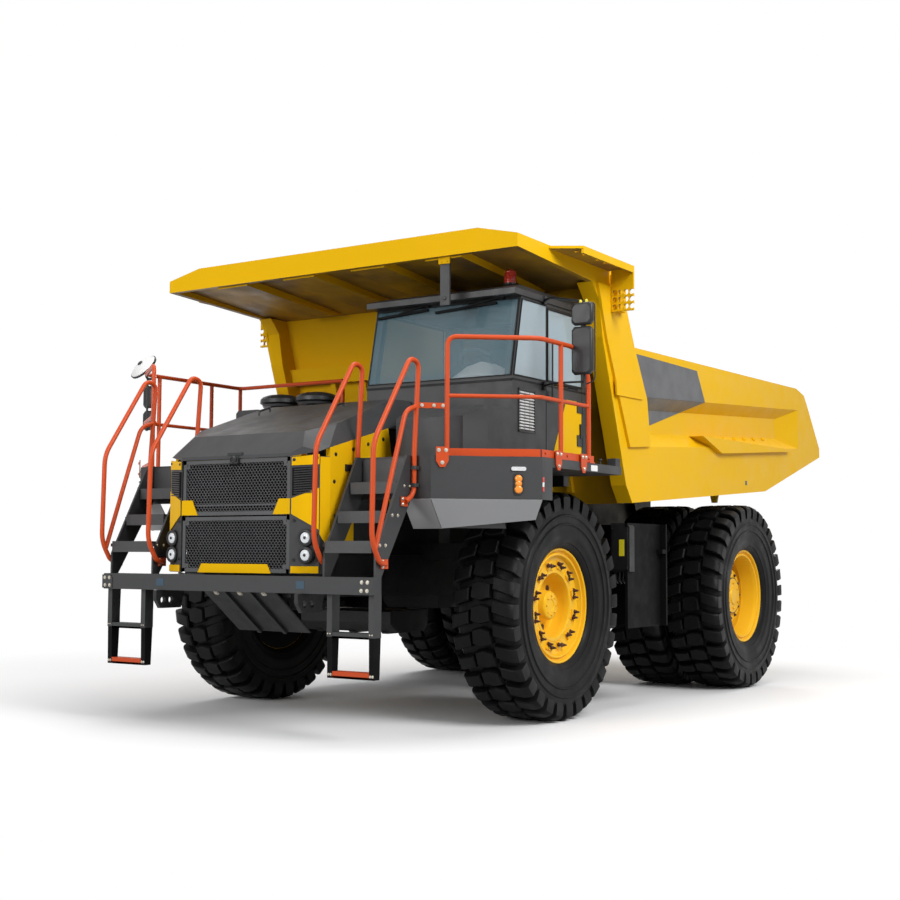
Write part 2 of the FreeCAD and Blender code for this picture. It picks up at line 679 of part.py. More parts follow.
def wheel_face(middle, bore, cap_radius):
    """Back of the hub, its cap, recess and bolted ring, out to the rim's lip."""
    return [(middle + " + " + y, r) for y, r in (
        (RECESS_FLOOR + " - rim_wall", "bead_radius - rim_wall"),
        (RECESS_FLOOR + " - rim_wall", bore),
        (BORE_END, bore),
        (BORE_END, "0"),
        (CAP_FACE, "0"),
        (CAP_FACE, cap_radius + " - rim_wall"),
        (CAP_FACE + " - rim_wall", cap_radius),
        (RECESS_FLOOR, cap_radius),
        (RECESS_FLOOR, "hub_recess_radius"),
        (RING_FACE, "hub_recess_radius"),
        (RING_FACE, "bead_radius - rim_wall"),
        ("rim_width / 2 - rim_lip", "bead_radius - rim_wall"),
        ("rim_width / 2", "rim_radius - rim_wall"),
    )]


def inner_lip(middle):
    """A rim's lip on the side towards the truck, down to the rim's inside."""
    return [(middle + " - rim_width / 2", "rim_radius - rim_wall"),
            (middle + " - rim_width / 2 + rim_lip", "bead_radius - rim_wall")]


def rim_form():
    """Front wheel's rim and hub; +Y is the outside of the wheel."""
    return ring("rim_form", flange("0", "+") + flange("0", "-")[::-1] + inner_lip("0")
                + wheel_face("0", "spindle_radius + pin_gap", "hub_cap_radius"), "tyre_width")


def twin_rim_form():
    """Two rims on one final drive, drawn from the plane between the twins."""
    outer = "twin_spacing / 2"
    inner = "-twin_spacing / 2"
    profile = flange(outer, "+") + flange(outer, "-")[::-1]
    profile += [(outer + " - rim_width / 2", "bead_radius"), (inner + " + rim_width / 2", "bead_radius")]
    profile += flange(inner, "+") + flange(inner, "-")[::-1] + inner_lip(inner)
    profile += wheel_face(outer, "axle_tube_radius + pin_gap", "final_drive_radius")
    return ring("twin_rim_form", profile, "twin_spacing + tyre_width")


def wheels():
    tyre = tyre_form()
    rim = rim_form()
    twins = twin_rim_form()
    axle = "-wheel_base"
    for side, sign, turn in (("left", "", NO_TURN), ("right", "-", HALF_TURN)):
        node("tyre_front_" + side, [copy("front_tyre_" + side, tyre, (0, sign + "front_tyre_y", "tyre_radius"))])
        node("rim_front_" + side, [copy("front_rim_" + side, rim, (0, sign + "front_tyre_y", "tyre_radius"), turn)])
        node("tyres_rear_" + side, [
            copy("outer_tyre_" + side, tyre, (axle, sign + "outer_tyre_y", "tyre_radius")),
            copy("inner_tyre_" + side, tyre, (axle, sign + "(outer_tyre_y - twin_spacing)", "tyre_radius")),
        ])
        node("rims_rear_" + side, [
            copy("twin_rims_" + side, twins, (axle, sign + "(outer_tyre_y - twin_spacing / 2)", "tyre_radius"), turn),
        ])


# ---------------------------------------------------------------------------------------------
# Chassis
# ---------------------------------------------------------------------------------------------

RAIL_RISE = "(rail_top_rear - rail_top_front) / (rail_kink_x - rail_rear_x)"
COLLAR_Y = "(kingpin_y + strut_radius + collar_wall)"
STRUT_FOOT = "strut_collar_z - strut_collar_height / 2"


def rail_at(x):
    """Height of the chassis rails' top behind their kink."""
    return "(rail_top_front + %s * (rail_kink_x - (%s)))" % (RAIL_RISE, x)


def chassis_frame():
    rail = centred("frame_rail", "xz", [
        ("rail_front_x", "rail_top_front"),
        ("rail_kink_x", "rail_top_front"),
        ("rail_rear_x", "rail_top_rear"),
        ("rail_rear_x", "rail_top_rear - rail_end_depth"),
        ("rail_rear_x + rail_taper", "rail_top_rear - rail_depth"),
        ("rail_kink_x", "rail_top_front - rail_depth"),
        ("rail_front_x", "rail_top_front - rail_front_depth"),
    ], "rail_y", "rail_width")
    hanger = centred("frame_hoist_hanger", "xz", [
        ("hoist_foot_x - 2 * hoist_pin_radius", "hoist_foot_z - 2 * hoist_pin_radius"),
        ("hoist_foot_x + 2 * hoist_pin_radius", "hoist_foot_z - 2 * hoist_pin_radius"),
        ("hoist_foot_x + 5 * hoist_pin_radius", rail_at("hoist_foot_x") + " - rail_depth + hanger_lap"),
        ("hoist_foot_x - 5 * hoist_pin_radius", rail_at("hoist_foot_x") + " - rail_depth + hanger_lap"),
    ], "rail_y", "hanger_width")
    plate_rear = "bumper_front_x - bumper_depth"
    tow_plate = centred("frame_tow_plate", "xz", [
        ("rail_front_x - tow_plate", BUMPER_TOP),
        (plate_rear, BUMPER_TOP),
        (plate_rear, "bumper_bottom_z"),
        ("bumper_front_x + tow_plate_reach", "bumper_bottom_z"),
        ("bumper_front_x + tow_plate_reach", "bumper_bottom_z - tow_plate_depth / 2"),
        ("bumper_front_x", "bumper_bottom_z - tow_plate_depth"),
        ("rail_front_x", "bumper_bottom_z - tow_plate_depth"),
        ("rail_front_x - tow_plate", "bumper_bottom_z"),
    ], "tow_plate_y", "tow_plate")
    eyes = [rod("frame_tow_eye%d" % i, (x, "tow_plate_y - tow_plate", "tow_eye_z"),
                (x, "tow_plate_y + tow_plate", "tow_eye_z"), "tow_eye_radius")
            for i, x in enumerate(("tow_eye_x", "tow_eye_x - tow_eye_pitch"))]
    tow_beam = box("frame_tow_beam", ("rail_front_x - cross_tube / 2", "rail_y", "bumper_bottom_z"),
                   ("cross_tube / 2", "tow_plate_y - rail_y", "bumper_height"))
    seat = box("frame_rear_strut_seat", ("strut_rear_x - strut_rear_radius", "rail_y", "strut_rear_top_z"),
               ("2 * strut_rear_radius", "hoist_y + strut_rear_radius - rail_y", "strut_seat"))
    tubes = [box("frame_cross_tube%d" % i, (x, "-rail_y", z + " - cross_tube"),
                 ("cross_tube", "2 * rail_y", "cross_tube"))
             for i, (x, z) in enumerate((
                 ("rail_front_x - cross_tube", "rail_top_front - rail_front_depth + cross_tube"),
                 ("rail_kink_x - cross_tube", "rail_top_front - cross_tube / 2"),
                 ("-wheel_base + axle_tube_radius + axle_arm_length", "rail_top_front - rail_depth + cross_tube"),
                 ("rail_rear_x + cross_tube", "rail_top_rear - rail_end_depth / 4"),
             ))]
    shafts = [
        rod("frame_hoist_shaft", ("hoist_foot_x", "-hoist_y - hoist_eye_width", "hoist_foot_z"),
            ("hoist_foot_x", "hoist_y + hoist_eye_width", "hoist_foot_z"), "hoist_pin_radius"),
    ] + both(rod("frame_pivot_pin", ("pivot_x", "rail_y", "pivot_z"),
                 ("pivot_x", "rail_y + rail_width / 2 + pivot_lug + pivot_pin_radius", "pivot_z"), "pivot_pin_radius"))
    tow_plate = cut("frame_tow_plate_bored", tow_plate, fuse("frame_tow_eyes", eyes))
    node("chassis_frame", [fuse("frame_solid", both_sides([rail, hanger, tow_plate, tow_beam, seat])
                                + tubes + shafts)])
    node("engine_block", [box("engine", ("engine_rear_x", "-rail_y + rail_width / 2", "engine_bottom_z"),
                              ("engine_length", "2 * rail_y - rail_width", "engine_height"))])


def strut_towers():
    """Cross beam over the front axle whose collars carry the struts."""
    arms = [centred("tower_arm", "yz", [
        ("-" + COLLAR_Y, z + " - strut_collar_height / 2"),
        (COLLAR_Y, z + " - strut_collar_height / 2"),
        (COLLAR_Y, z + " + strut_collar_height / 2"),
        ("-" + COLLAR_Y, z + " + strut_collar_height / 2"),
    ], "0", "2 * (strut_radius + collar_wall)") for z in ("strut_collar_z", "strut_collar_top_z")]
    web = box("tower_web", ("-tower_web_depth / 2", "-tower_web_half", "rail_top_front"),
              ("tower_web_depth", "2 * tower_web_half", "strut_collar_top_z - rail_top_front"))
    bores = both(post("tower_bore", ("0", "kingpin_y", "strut_bottom_z"), "strut_top_z - strut_bottom_z",
                      "strut_radius + seat_gap", ROUND_SIDES))
    rails = both(centred("tower_rail_slot", "xz", [
        ("-rail_depth", "rail_top_front"),
        ("rail_depth", "rail_top_front"),
        ("rail_depth", "rail_top_front - rail_depth"),
        ("-rail_depth", "rail_top_front - rail_depth"),
    ], "rail_y", "rail_width"))
    node("strut_towers", [cut("tower_bored", fuse("tower_solid", arms + [web]), fuse("tower_bores", bores + rails))])


def running_gear():
    knuckles = {}
    for side, sign in (("left", ""), ("right", "-")):
        knuckles[side] = fuse("knuckle_solid_" + side, [
            box("knuckle_block_" + side, ("-strut_radius", sign + "kingpin_y - strut_radius", "tyre_radius - strut_radius"),
                ("2 * strut_radius", "2 * strut_radius", "2 * strut_radius")),
            rod("knuckle_rod_" + side, ("0", sign + "kingpin_y", "tyre_radius"),
                ("0", sign + "kingpin_y", "strut_bottom_z"), "strut_rod_radius"),
            rod("knuckle_spindle_" + side, ("0", sign + "kingpin_y", "tyre_radius"),
                ("0", sign + "(front_tyre_y + %s - running_gap)" % BORE_END, "tyre_radius"), "spindle_radius"),
            box("knuckle_arm_" + side, ("-strut_radius - steering_arm", sign + "kingpin_y - spindle_radius / 2",
                                        "tyre_radius - strut_radius"),
                ("strut_radius + steering_arm", "spindle_radius", "spindle_radius")),
        ])
        node("knuckle_" + side, [knuckles[side]])
    end = "(outer_tyre_y + %s - running_gap)" % BORE_END
    seat = box("axle_strut_seat", ("strut_rear_x - strut_rear_radius", "hoist_y - strut_rear_radius",
                                   "tyre_radius - strut_seat"),
               ("-wheel_base - strut_rear_x + strut_rear_radius", "2 * strut_rear_radius", "strut_seat"))
    arm = box("axle_arm", ("-wheel_base + axle_tube_radius", "-axle_arm_width / 2", "tyre_radius - axle_arm_width / 2"),
              ("axle_arm_length", "axle_arm_width", "axle_arm_width"))
    housing = fuse("axle_solid", [
        rod("axle_tube", ("-wheel_base", "-" + end, "tyre_radius"), ("-wheel_base", end, "tyre_radius"),
            "axle_tube_radius"),
        bar("axle_banjo", ("-wheel_base", "-banjo_half", "tyre_radius"), ("-wheel_base", "banjo_half", "tyre_radius"),
            "banjo_radius", ROUND_SIDES),
        arm,
    ] + both(seat))
    node("rear_axle", [housing])
    front = post("front_strut", ("0", "kingpin_y", "strut_bottom_z"), "strut_top_z - strut_bottom_z",
                 "strut_radius", ROUND_SIDES)
    rear = post("rear_strut", ("strut_rear_x", "hoist_y", "tyre_radius"), "strut_rear_top_z - tyre_radius",
                "strut_rear_radius", ROUND_SIDES)
    node("suspension_struts", both_sides([front, rear]))


EYE_BORE = "(hoist_pin_radius + pin_gap) / cos(180 / %d)" % ROUND_SIDES
HOIST_CLOSED = "sqrt((hoist_eye_x - hoist_foot_x)^2 + (hoist_eye_z - hoist_foot_z)^2)"


def along_hoist(reach):
    """Point of a hoist's axis at a distance from its foot."""
    return ("hoist_foot_x + (hoist_eye_x - hoist_foot_x) * (%s) / %s" % (reach, HOIST_CLOSED),
            "hoist_y",
            "hoist_foot_z + (hoist_eye_z - hoist_foot_z) * (%s) / %s" % (reach, HOIST_CLOSED))


def hoist_tube(name, start, end, radius, bore_start, bore):
    whole = bar(name + "_outside", along_hoist(start), along_hoist(end), radius, ROUND_SIDES)
    hollow = bar(name + "_bore", along_hoist(bore_start), along_hoist(end + " + pin_gap"), bore, ROUND_SIDES)
    return cut(name, whole, hollow)


def across_eye(name, x, z, half, radius):
    return bar(name, (x, "hoist_y - " + half, z), (x, "hoist_y + " + half, z), radius, ROUND_SIDES)


def hoists():
    """Two-stage hoists; each stage is a pair that moves as one."""
    tube = hoist_tube("hoist_barrel_tube", "hoist_eye_radius / 2", HOIST_CLOSED + " - 2 * hoist_eye_radius",
                      "hoist_barrel_radius", "1.5 * hoist_eye_radius", "hoist_sleeve_radius + pin_gap")
    foot = across_eye("hoist_foot", "hoist_foot_x", "hoist_foot_z", "hoist_eye_width / 2", "hoist_eye_radius")
    bore = across_eye("hoist_foot_bore", "hoist_foot_x", "hoist_foot_z", "hoist_eye_width", EYE_BORE)
    barrel = cut("hoist_barrel", fuse("hoist_barrel_whole", [tube, foot]), bore)
    node("hoist_barrels", both(barrel))
    sleeve = hoist_tube("hoist_sleeve", "1.6 * hoist_eye_radius", HOIST_CLOSED + " - 1.6 * hoist_eye_radius",
                        "hoist_sleeve_radius", "1.7 * hoist_eye_radius", "hoist_rod_radius + pin_gap")
    node("hoist_sleeves", both(sleeve))
    top = across_eye("hoist_top", "hoist_eye_x", "hoist_eye_z", "hoist_eye_width / 2", "hoist_eye_radius")
    top_bore = across_eye("hoist_top_bore", "hoist_eye_x", "hoist_eye_z", "hoist_eye_width", EYE_BORE)
    shaft = bar("hoist_rod_shaft", along_hoist("1.8 * hoist_eye_radius"),
                along_hoist(HOIST_CLOSED + " - hoist_eye_radius / 2"), "hoist_rod_radius", ROUND_SIDES)
    node("hoist_rods", both(cut("hoist_rod", fuse("hoist_rod_whole", [shaft, top]), top_bore)))


# ---------------------------------------------------------------------------------------------
# Bed
# ---------------------------------------------------------------------------------------------

WALL_LEAN = "(canopy_fold_x - bed_front_x) / (canopy_fold_z - bed_front_z)"
FLOOR_RISE = "(bed_kink_z - bed_front_z) / (bed_front_x - bed_kink_x)"
INNER_HALF = "(bed_half_width - bed_wall)"


def floor_at(x):
    """Height of the bed's underside at a distance along the truck."""
    return "(bed_front_z + %s * (bed_front_x - (%s)))" % (FLOOR_RISE, x)


def wall_at(z):
    """Front face of the bed's front wall at a height."""
    return "(bed_front_x + %s * ((%s) - bed_front_z))" % (WALL_LEAN, z)


def into_floor(x):
    """Height inside the floor plate, where what hangs below it is joined."""
    return floor_at(x) + " + bed_floor_plate / 4"


def bed_floor():
    panel = slab("bed_floor_panel", "xz", [
        ("bed_front_x - bed_front_wall", "bed_front_z"),
        ("bed_kink_x", "bed_kink_z"),
        ("bed_tail_x", "bed_tail_z"),
        ("bed_tail_x", "bed_tail_z + bed_floor_plate"),
        ("bed_kink_x", "bed_kink_z + bed_floor_plate"),
        ("bed_front_x - bed_front_wall + bed_floor_plate * " + WALL_LEAN, "bed_front_z + bed_floor_plate"),
    ], "-" + INNER_HALF, "2 * " + INNER_HALF)
    front = "(bed_front_x - bed_front_wall - sill_setback)"
    rear = "(pivot_x + 1.5 * pivot_pin_radius)"
    sill = centred("bed_sill", "xz", [
        (front, rail_at(front) + " + running_gap"),
        (rear, rail_at(rear) + " + running_gap"),
        (rear, into_floor(rear)),
        (front, into_floor(front)),
    ], "rail_y", "sill_width")
    lug = slab("bed_pivot_lug", "xz", [
        ("pivot_x + 7 * pivot_pin_radius", into_floor("pivot_x + 7 * pivot_pin_radius")),
        ("pivot_x - 2.2 * pivot_pin_radius", into_floor("pivot_x - 2.2 * pivot_pin_radius")),
        ("pivot_x - 2.2 * pivot_pin_radius", "pivot_z"),
        ("pivot_x - 1.2 * pivot_pin_radius", "pivot_z - 2 * pivot_pin_radius"),
        ("pivot_x + 1.2 * pivot_pin_radius", "pivot_z - 2 * pivot_pin_radius"),
        ("pivot_x + 2.2 * pivot_pin_radius", "pivot_z"),
    ], "rail_y + rail_width / 2 + running_gap", "pivot_lug")
    bore = rod("bed_pivot_bore", ("pivot_x", "0", "pivot_z"), ("pivot_x", "2 * hoist_y", "pivot_z"),
               "pivot_pin_radius + pin_gap")
    lug = cut("bed_pivot_lug_bored", lug, bore)
    gap = "(hoist_eye_width / 2 + running_gap)"
    plates = []
    for name, at in (("inner", "hoist_y - %s - hoist_bracket" % gap), ("outer", "hoist_y + " + gap)):
        plates.append(slab("bed_hoist_bracket_" + name, "xz", [
            ("hoist_eye_x - 2.4 * hoist_eye_radius", into_floor("hoist_eye_x - 2.4 * hoist_eye_radius")),
            ("hoist_eye_x + 2.4 * hoist_eye_radius", into_floor("hoist_eye_x + 2.4 * hoist_eye_radius")),
            ("hoist_eye_x + hoist_eye_radius", "hoist_eye_z - hoist_eye_radius / 2"),
            ("hoist_eye_x + hoist_eye_radius / 2", "hoist_eye_z - hoist_eye_radius"),
            ("hoist_eye_x - hoist_eye_radius / 2", "hoist_eye_z - hoist_eye_radius"),
            ("hoist_eye_x - hoist_eye_radius", "hoist_eye_z - hoist_eye_radius / 2"),
        ], at, "hoist_bracket"))
    node("bed_floor", [fuse("bed_floor_solid", [panel] + both_sides([sill, lug] + plates))])


def bed_sides():
    """Side walls with their corner posts, top beams, ledges and shelves."""
    wall = slab("bed_side_wall", "xz", [
        ("bed_foot_x", "bed_front_z"),
        ("bed_kink_x", "bed_kink_z"),
        ("bed_tail_x", "bed_tail_z"),
        ("bed_tail_x", "bed_tail_z + bed_floor_plate"),
        ("bed_end_x", "bed_end_z"),
        ("bed_end_x + bed_end_corner", "bed_end_z + bed_end_corner"),
        ("bed_rail_rear_x", "bed_rail_rear_z"),
        ("post_waist_x", "bed_rail_front_z"),
        ("post_head_rear_x", "canopy_fold_z"),
        ("post_head_x", "canopy_fold_z"),
        ("post_throat_x", "post_throat_z"),
        ("post_bend_x", "post_bend_z"),
        ("post_foot_x", "post_foot_z"),
    ], INNER_HALF, "bed_wall")
    proud = slab("bed_post", "xz", [
        ("post_head_rear_x", "canopy_fold_z"),
        ("post_waist_x", "bed_rail_front_z"),
        ("post_knee_x", "post_knee_z"),
        ("post_ankle_x", "ledge_front_z"),
        ("post_foot_x - post_edge", "ledge_front_z - post_edge"),
        ("post_bend_x - post_edge", "post_bend_z"),
        ("post_head_x - 2 * post_edge", "canopy_fold_z"),
    ], "bed_half_width", "post_proud")
    front = "(post_knee_x + recess_margin)"
    mouth = "bed_half_width"
    back = "(bed_half_width - recess_depth)"
    hollow = sloping("bed_recess_section", [
        (mouth, "ledge_front_z"),
        (mouth, "bed_rail_front_z - rail_beam_depth"),
        (back, "bed_rail_front_z - rail_beam_depth - recess_depth"),
        (back, "ledge_front_z + ledge_rise"),
    ], front, "recess_rear_x - recess_slope", "recess_rise")
    plan = slab("bed_recess_plan", "xy", [
        (front, mouth),
        ("recess_rear_x - recess_slope", mouth),
        ("recess_rear_x + recess_slope", back),
        (front, back),
    ], "bed_front_z", "bed_rail_rear_z - bed_front_z")
    recess = common("bed_side_recess", [hollow, plan])
    shelf = slab("bed_shelf", "xz", [
        ("shelf_front_x", "shelf_front_z"),
        ("shelf_knee_x", "shelf_knee_z"),
        ("shelf_rear_x", "shelf_rear_z"),
        ("shelf_rear_x - shelf_reach", "shelf_rear_z + shelf_reach / 2"),
    ], "bed_half_width - recess_depth", "recess_depth + shelf_reach")
    side = fuse("bed_side", [cut("bed_side_panel", wall, recess), proud, shelf])
    node("bed_side_left", [side])
    node("bed_side_right", [mirrored("bed_side_right_form", side)])


def bed_front():
    panel = slab("bed_front_panel", "xz", [
        ("bed_front_x", "bed_front_z"),
        ("canopy_fold_x", "canopy_fold_z"),
        ("canopy_fold_x - bed_front_wall", "canopy_fold_z"),
        ("bed_front_x - bed_front_wall", "bed_front_z"),
    ], "-" + INNER_HALF, "2 * " + INNER_HALF)
    top = "front_beam_z + front_beam_height"
    beam = slab("bed_front_beam", "xz", [
        (wall_at("front_beam_z") + " - bed_front_wall / 2", "front_beam_z"),
        (wall_at("front_beam_z") + " + front_beam_depth", "front_beam_z"),
        (wall_at(top) + " + front_beam_depth", top),
        (wall_at(top) + " - bed_front_wall / 2", top),
    ], "-" + INNER_HALF, "2 * " + INNER_HALF)
    foot = "bed_front_z + bed_floor_plate"
    ribs = [centred("bed_front_rib%d" % i, "xz", [
        (wall_at(foot) + " - bed_front_wall / 2", foot),
        (wall_at(foot) + " + front_rib", foot),
        (wall_at("front_beam_z") + " + front_rib", "front_beam_z"),
        (wall_at("front_beam_z") + " - bed_front_wall / 2", "front_beam_z"),
    ], y, "front_rib") for i, y in enumerate(("front_rib_y", "front_rib_y - front_rib_pitch"))]
    node("bed_front_wall", [fuse("bed_front_solid", [panel, beam] + both_sides(ribs))])


def canopy():
    plate = slab("canopy_panel", "xz", [
        ("post_head_rear_x", "canopy_fold_z"),
        ("canopy_fold_x", "canopy_fold_z"),
        ("canopy_lip_x - canopy_lip_plate", "canopy_lip_z"),
        ("canopy_lip_x - canopy_lip_plate", "canopy_lip_z + canopy_plate"),
        ("canopy_fold_x", "canopy_fold_z + canopy_plate"),
        ("post_head_rear_x", "canopy_fold_z + canopy_plate"),
    ], "-bed_half_width", "2 * bed_half_width")
    corner = "canopy_lip_top - canopy_corner_drop"
    lip = slab("canopy_lip", "yz", [
        ("-bed_half_width", "canopy_lip_z - canopy_lip_plate"),
        ("bed_half_width", "canopy_lip_z - canopy_lip_plate"),
        ("bed_half_width", corner),
        ("canopy_flat_half", "canopy_lip_top"),
        ("-canopy_flat_half", "canopy_lip_top"),
        ("-bed_half_width", corner),
    ], "canopy_lip_x - canopy_lip_plate", "canopy_lip_plate")
    side = slab("canopy_side", "xz", [
        ("canopy_lip_x", corner),
        ("wing_rear_x", "wing_top"),
        ("wing_rear_x", "canopy_fold_z"),
        ("post_head_x", "canopy_fold_z"),
        ("canopy_lip_x", "canopy_lip_z - canopy_lip_plate"),
    ], "bed_half_width - canopy_side", "canopy_side")
    ribs = [centred("canopy_rib%d" % i, "xz", [
        ("canopy_fold_x + canopy_rib_depth", "canopy_fold_z"),
        ("canopy_lip_x - canopy_lip_plate", "canopy_lip_z + canopy_plate / 2"),
        ("canopy_lip_x - canopy_lip_plate", "canopy_lip_z - canopy_rib_depth"),
        ("post_head_x", "canopy_fold_z - canopy_rib_depth / 2"),
        ("canopy_fold_x + 1.5 * canopy_rib_depth", "canopy_fold_z - canopy_rib_depth / 4"),
    ], "canopy_rib_y + %d * canopy_rib_pitch" % i, "canopy_rib_width") for i in range(2)]
    roof = slab("wing_roof", "xy", [
        ("wing_front_x", "bed_half_width"),
        ("wing_full_x", "wing_half_width"),
        ("wing_rear_x", "wing_half_width"),
        ("wing_rear_x", "bed_half_width"),
    ], "wing_top - wing_plate", "wing_plate")
    rim = box("wing_rim", ("wing_rear_x", "wing_half_width - wing_plate", "wing_top - wing_rim"),
              ("wing_full_x - wing_rear_x", "wing_plate", "wing_rim"))
    clear = "(bed_half_width + post_proud + running_gap)"
    back = box("wing_back", ("wing_rear_x", clear, "wing_top - wing_drop"),
               ("wing_plate", "wing_half_width - " + clear, "wing_drop"))
    node("bed_canopy", [fuse("canopy_solid", [plate, lip] + both_sides([side] + ribs + [roof, rim, back]))])


# ---------------------------------------------------------------------------------------------
# Decks, ways up and hand rails
# ---------------------------------------------------------------------------------------------


def decks():
    plate = slab("deck_plate_left", "xy", [
        ("deck_front_x", "deck_inner_y"),
        ("deck_front_x", "deck_step_y"),
        ("deck_corner_x", "deck_half_width"),
        ("deck_rear_x", "deck_half_width"),
        ("deck_rear_x", "deck_inner_y"),
    ], DECK_UNDER, "deck_plate")
    apron = slab("deck_apron", "xy", [
        ("deck_front_x", "deck_inner_y"),
        ("deck_front_x", "deck_step_y"),
        ("deck_corner_x", "deck_half_width"),
        ("deck_corner_x - apron_return", "deck_half_width"),
        ("deck_corner_x - apron_return", "deck_half_width - apron_plate"),
        ("deck_corner_x - apron_plate / 2", "deck_half_width - apron_plate"),
        ("deck_front_x - apron_plate", "deck_step_y - apron_plate / 2"),
        ("deck_front_x - apron_plate", "deck_inner_y"),
    ], DECK_UNDER + " - apron_height", "apron_height")
    lower = loft("deck_lower_apron", [outline("deck_lower_apron%d" % i, "xy", [
        ("deck_front_x" + back, "stair_outer_y + stair_plate"),
        ("deck_front_x" + back, "deck_step_y"),
        ("apron_end_x" + back, "apron_end_y"),
        ("apron_end_x - apron_plate" + back, "apron_end_y - apron_plate / 2"),
        ("deck_front_x - apron_plate" + back, "deck_step_y - apron_plate / 2"),
        ("deck_front_x - apron_plate" + back, "stair_outer_y + stair_plate"),
    ], z) for i, (back, z) in enumerate((
        ("", DECK_UNDER + " - apron_height"),
        (" - apron_slope", DECK_UNDER + " - apron_height - apron_lip"),
    ))])
    left = fuse("deck_left_form", [plate, apron, lower])
    walkway = box("walkway", ("deck_rear_x", "-deck_inner_y", DECK_UNDER),
                  ("walkway_front_x - deck_rear_x", "deck_inner_y + cab_inner_y", "deck_plate"))
    node("deck_left", [left])
    node("deck_right", [fuse("deck_right_solid", [mirrored("deck_right_form", left), walkway])])
    supports = []
    for name, x in (("front", "deck_beam_front_x"), ("rear", "deck_beam_rear_x")):
        supports.append(fuse("deck_support_" + name, [
            box("deck_post_" + name, (x, "rail_y - deck_beam / 2", "rail_top_front"),
                ("deck_beam", "deck_beam", DECK_UNDER + " - rail_top_front")),
            box("deck_beam_" + name, (x, "rail_y", DECK_UNDER + " - deck_beam"),
                ("deck_beam", "deck_beam_end_y - rail_y", "deck_beam")),
        ]))
    node("deck_supports", both_sides(supports))


def stairs():
    stringers = []
    for name, at in (("inner", "stair_inner_y"), ("outer", "stair_outer_y - stair_plate")):
        stringers.append(slab("stair_stringer_" + name, "xz", [
            ("stair_top_x", DECK_TOP),
            ("stair_top_x + stair_head", DECK_TOP),
            ("bumper_front_x - stair_foot", BUMPER_TOP + " + stair_foot_height"),
            ("bumper_front_x - stair_foot", BUMPER_TOP),
            ("bumper_front_x - bumper_depth", BUMPER_TOP),
            ("stair_top_x", DECK_TOP + " - stair_depth"),
        ], at, "stair_plate"))
    treads = [box("stair_tread%d" % i, ("stair_top_x + %d * stair_going" % i, "stair_inner_y",
                                        "stair_top_z - %d * stair_rise" % i),
                  ("stair_tread", "stair_outer_y - stair_inner_y", "stair_tread_plate")) for i in range(3)]
    node("stairs", both(fuse("stair_flight", stringers + treads)))
    straps = []
    for name, at in (("inner", "ladder_inner_y"), ("outer", "ladder_outer_y - ladder_strap_plate")):
        straps.append(slab("ladder_strap_" + name, "xz", [
            ("ladder_front_x", "bumper_bottom_z"),
            ("ladder_front_x - ladder_strap", "bumper_bottom_z"),
            ("ladder_front_x - ladder_strap", "ladder_mid_z"),
            ("ladder_front_x - ladder_strap / 2 - ladder_strap_plate", "ladder_bottom_z - ladder_step_plate"),
            ("ladder_front_x - ladder_strap_plate", "ladder_bottom_z - ladder_step_plate"),
            ("ladder_front_x", "ladder_mid_z"),
        ], at, "ladder_strap_plate"))
    steps = [box("ladder_step%d" % i, ("ladder_front_x - ladder_step", "ladder_inner_y", z + " - ladder_step_plate"),
                 ("ladder_step", "ladder_outer_y - ladder_inner_y", "ladder_step_plate"))
             for i, z in enumerate(("ladder_bottom_z", "ladder_mid_z"))]
    node("boarding_ladders", both(fuse("ladder", straps + steps)))


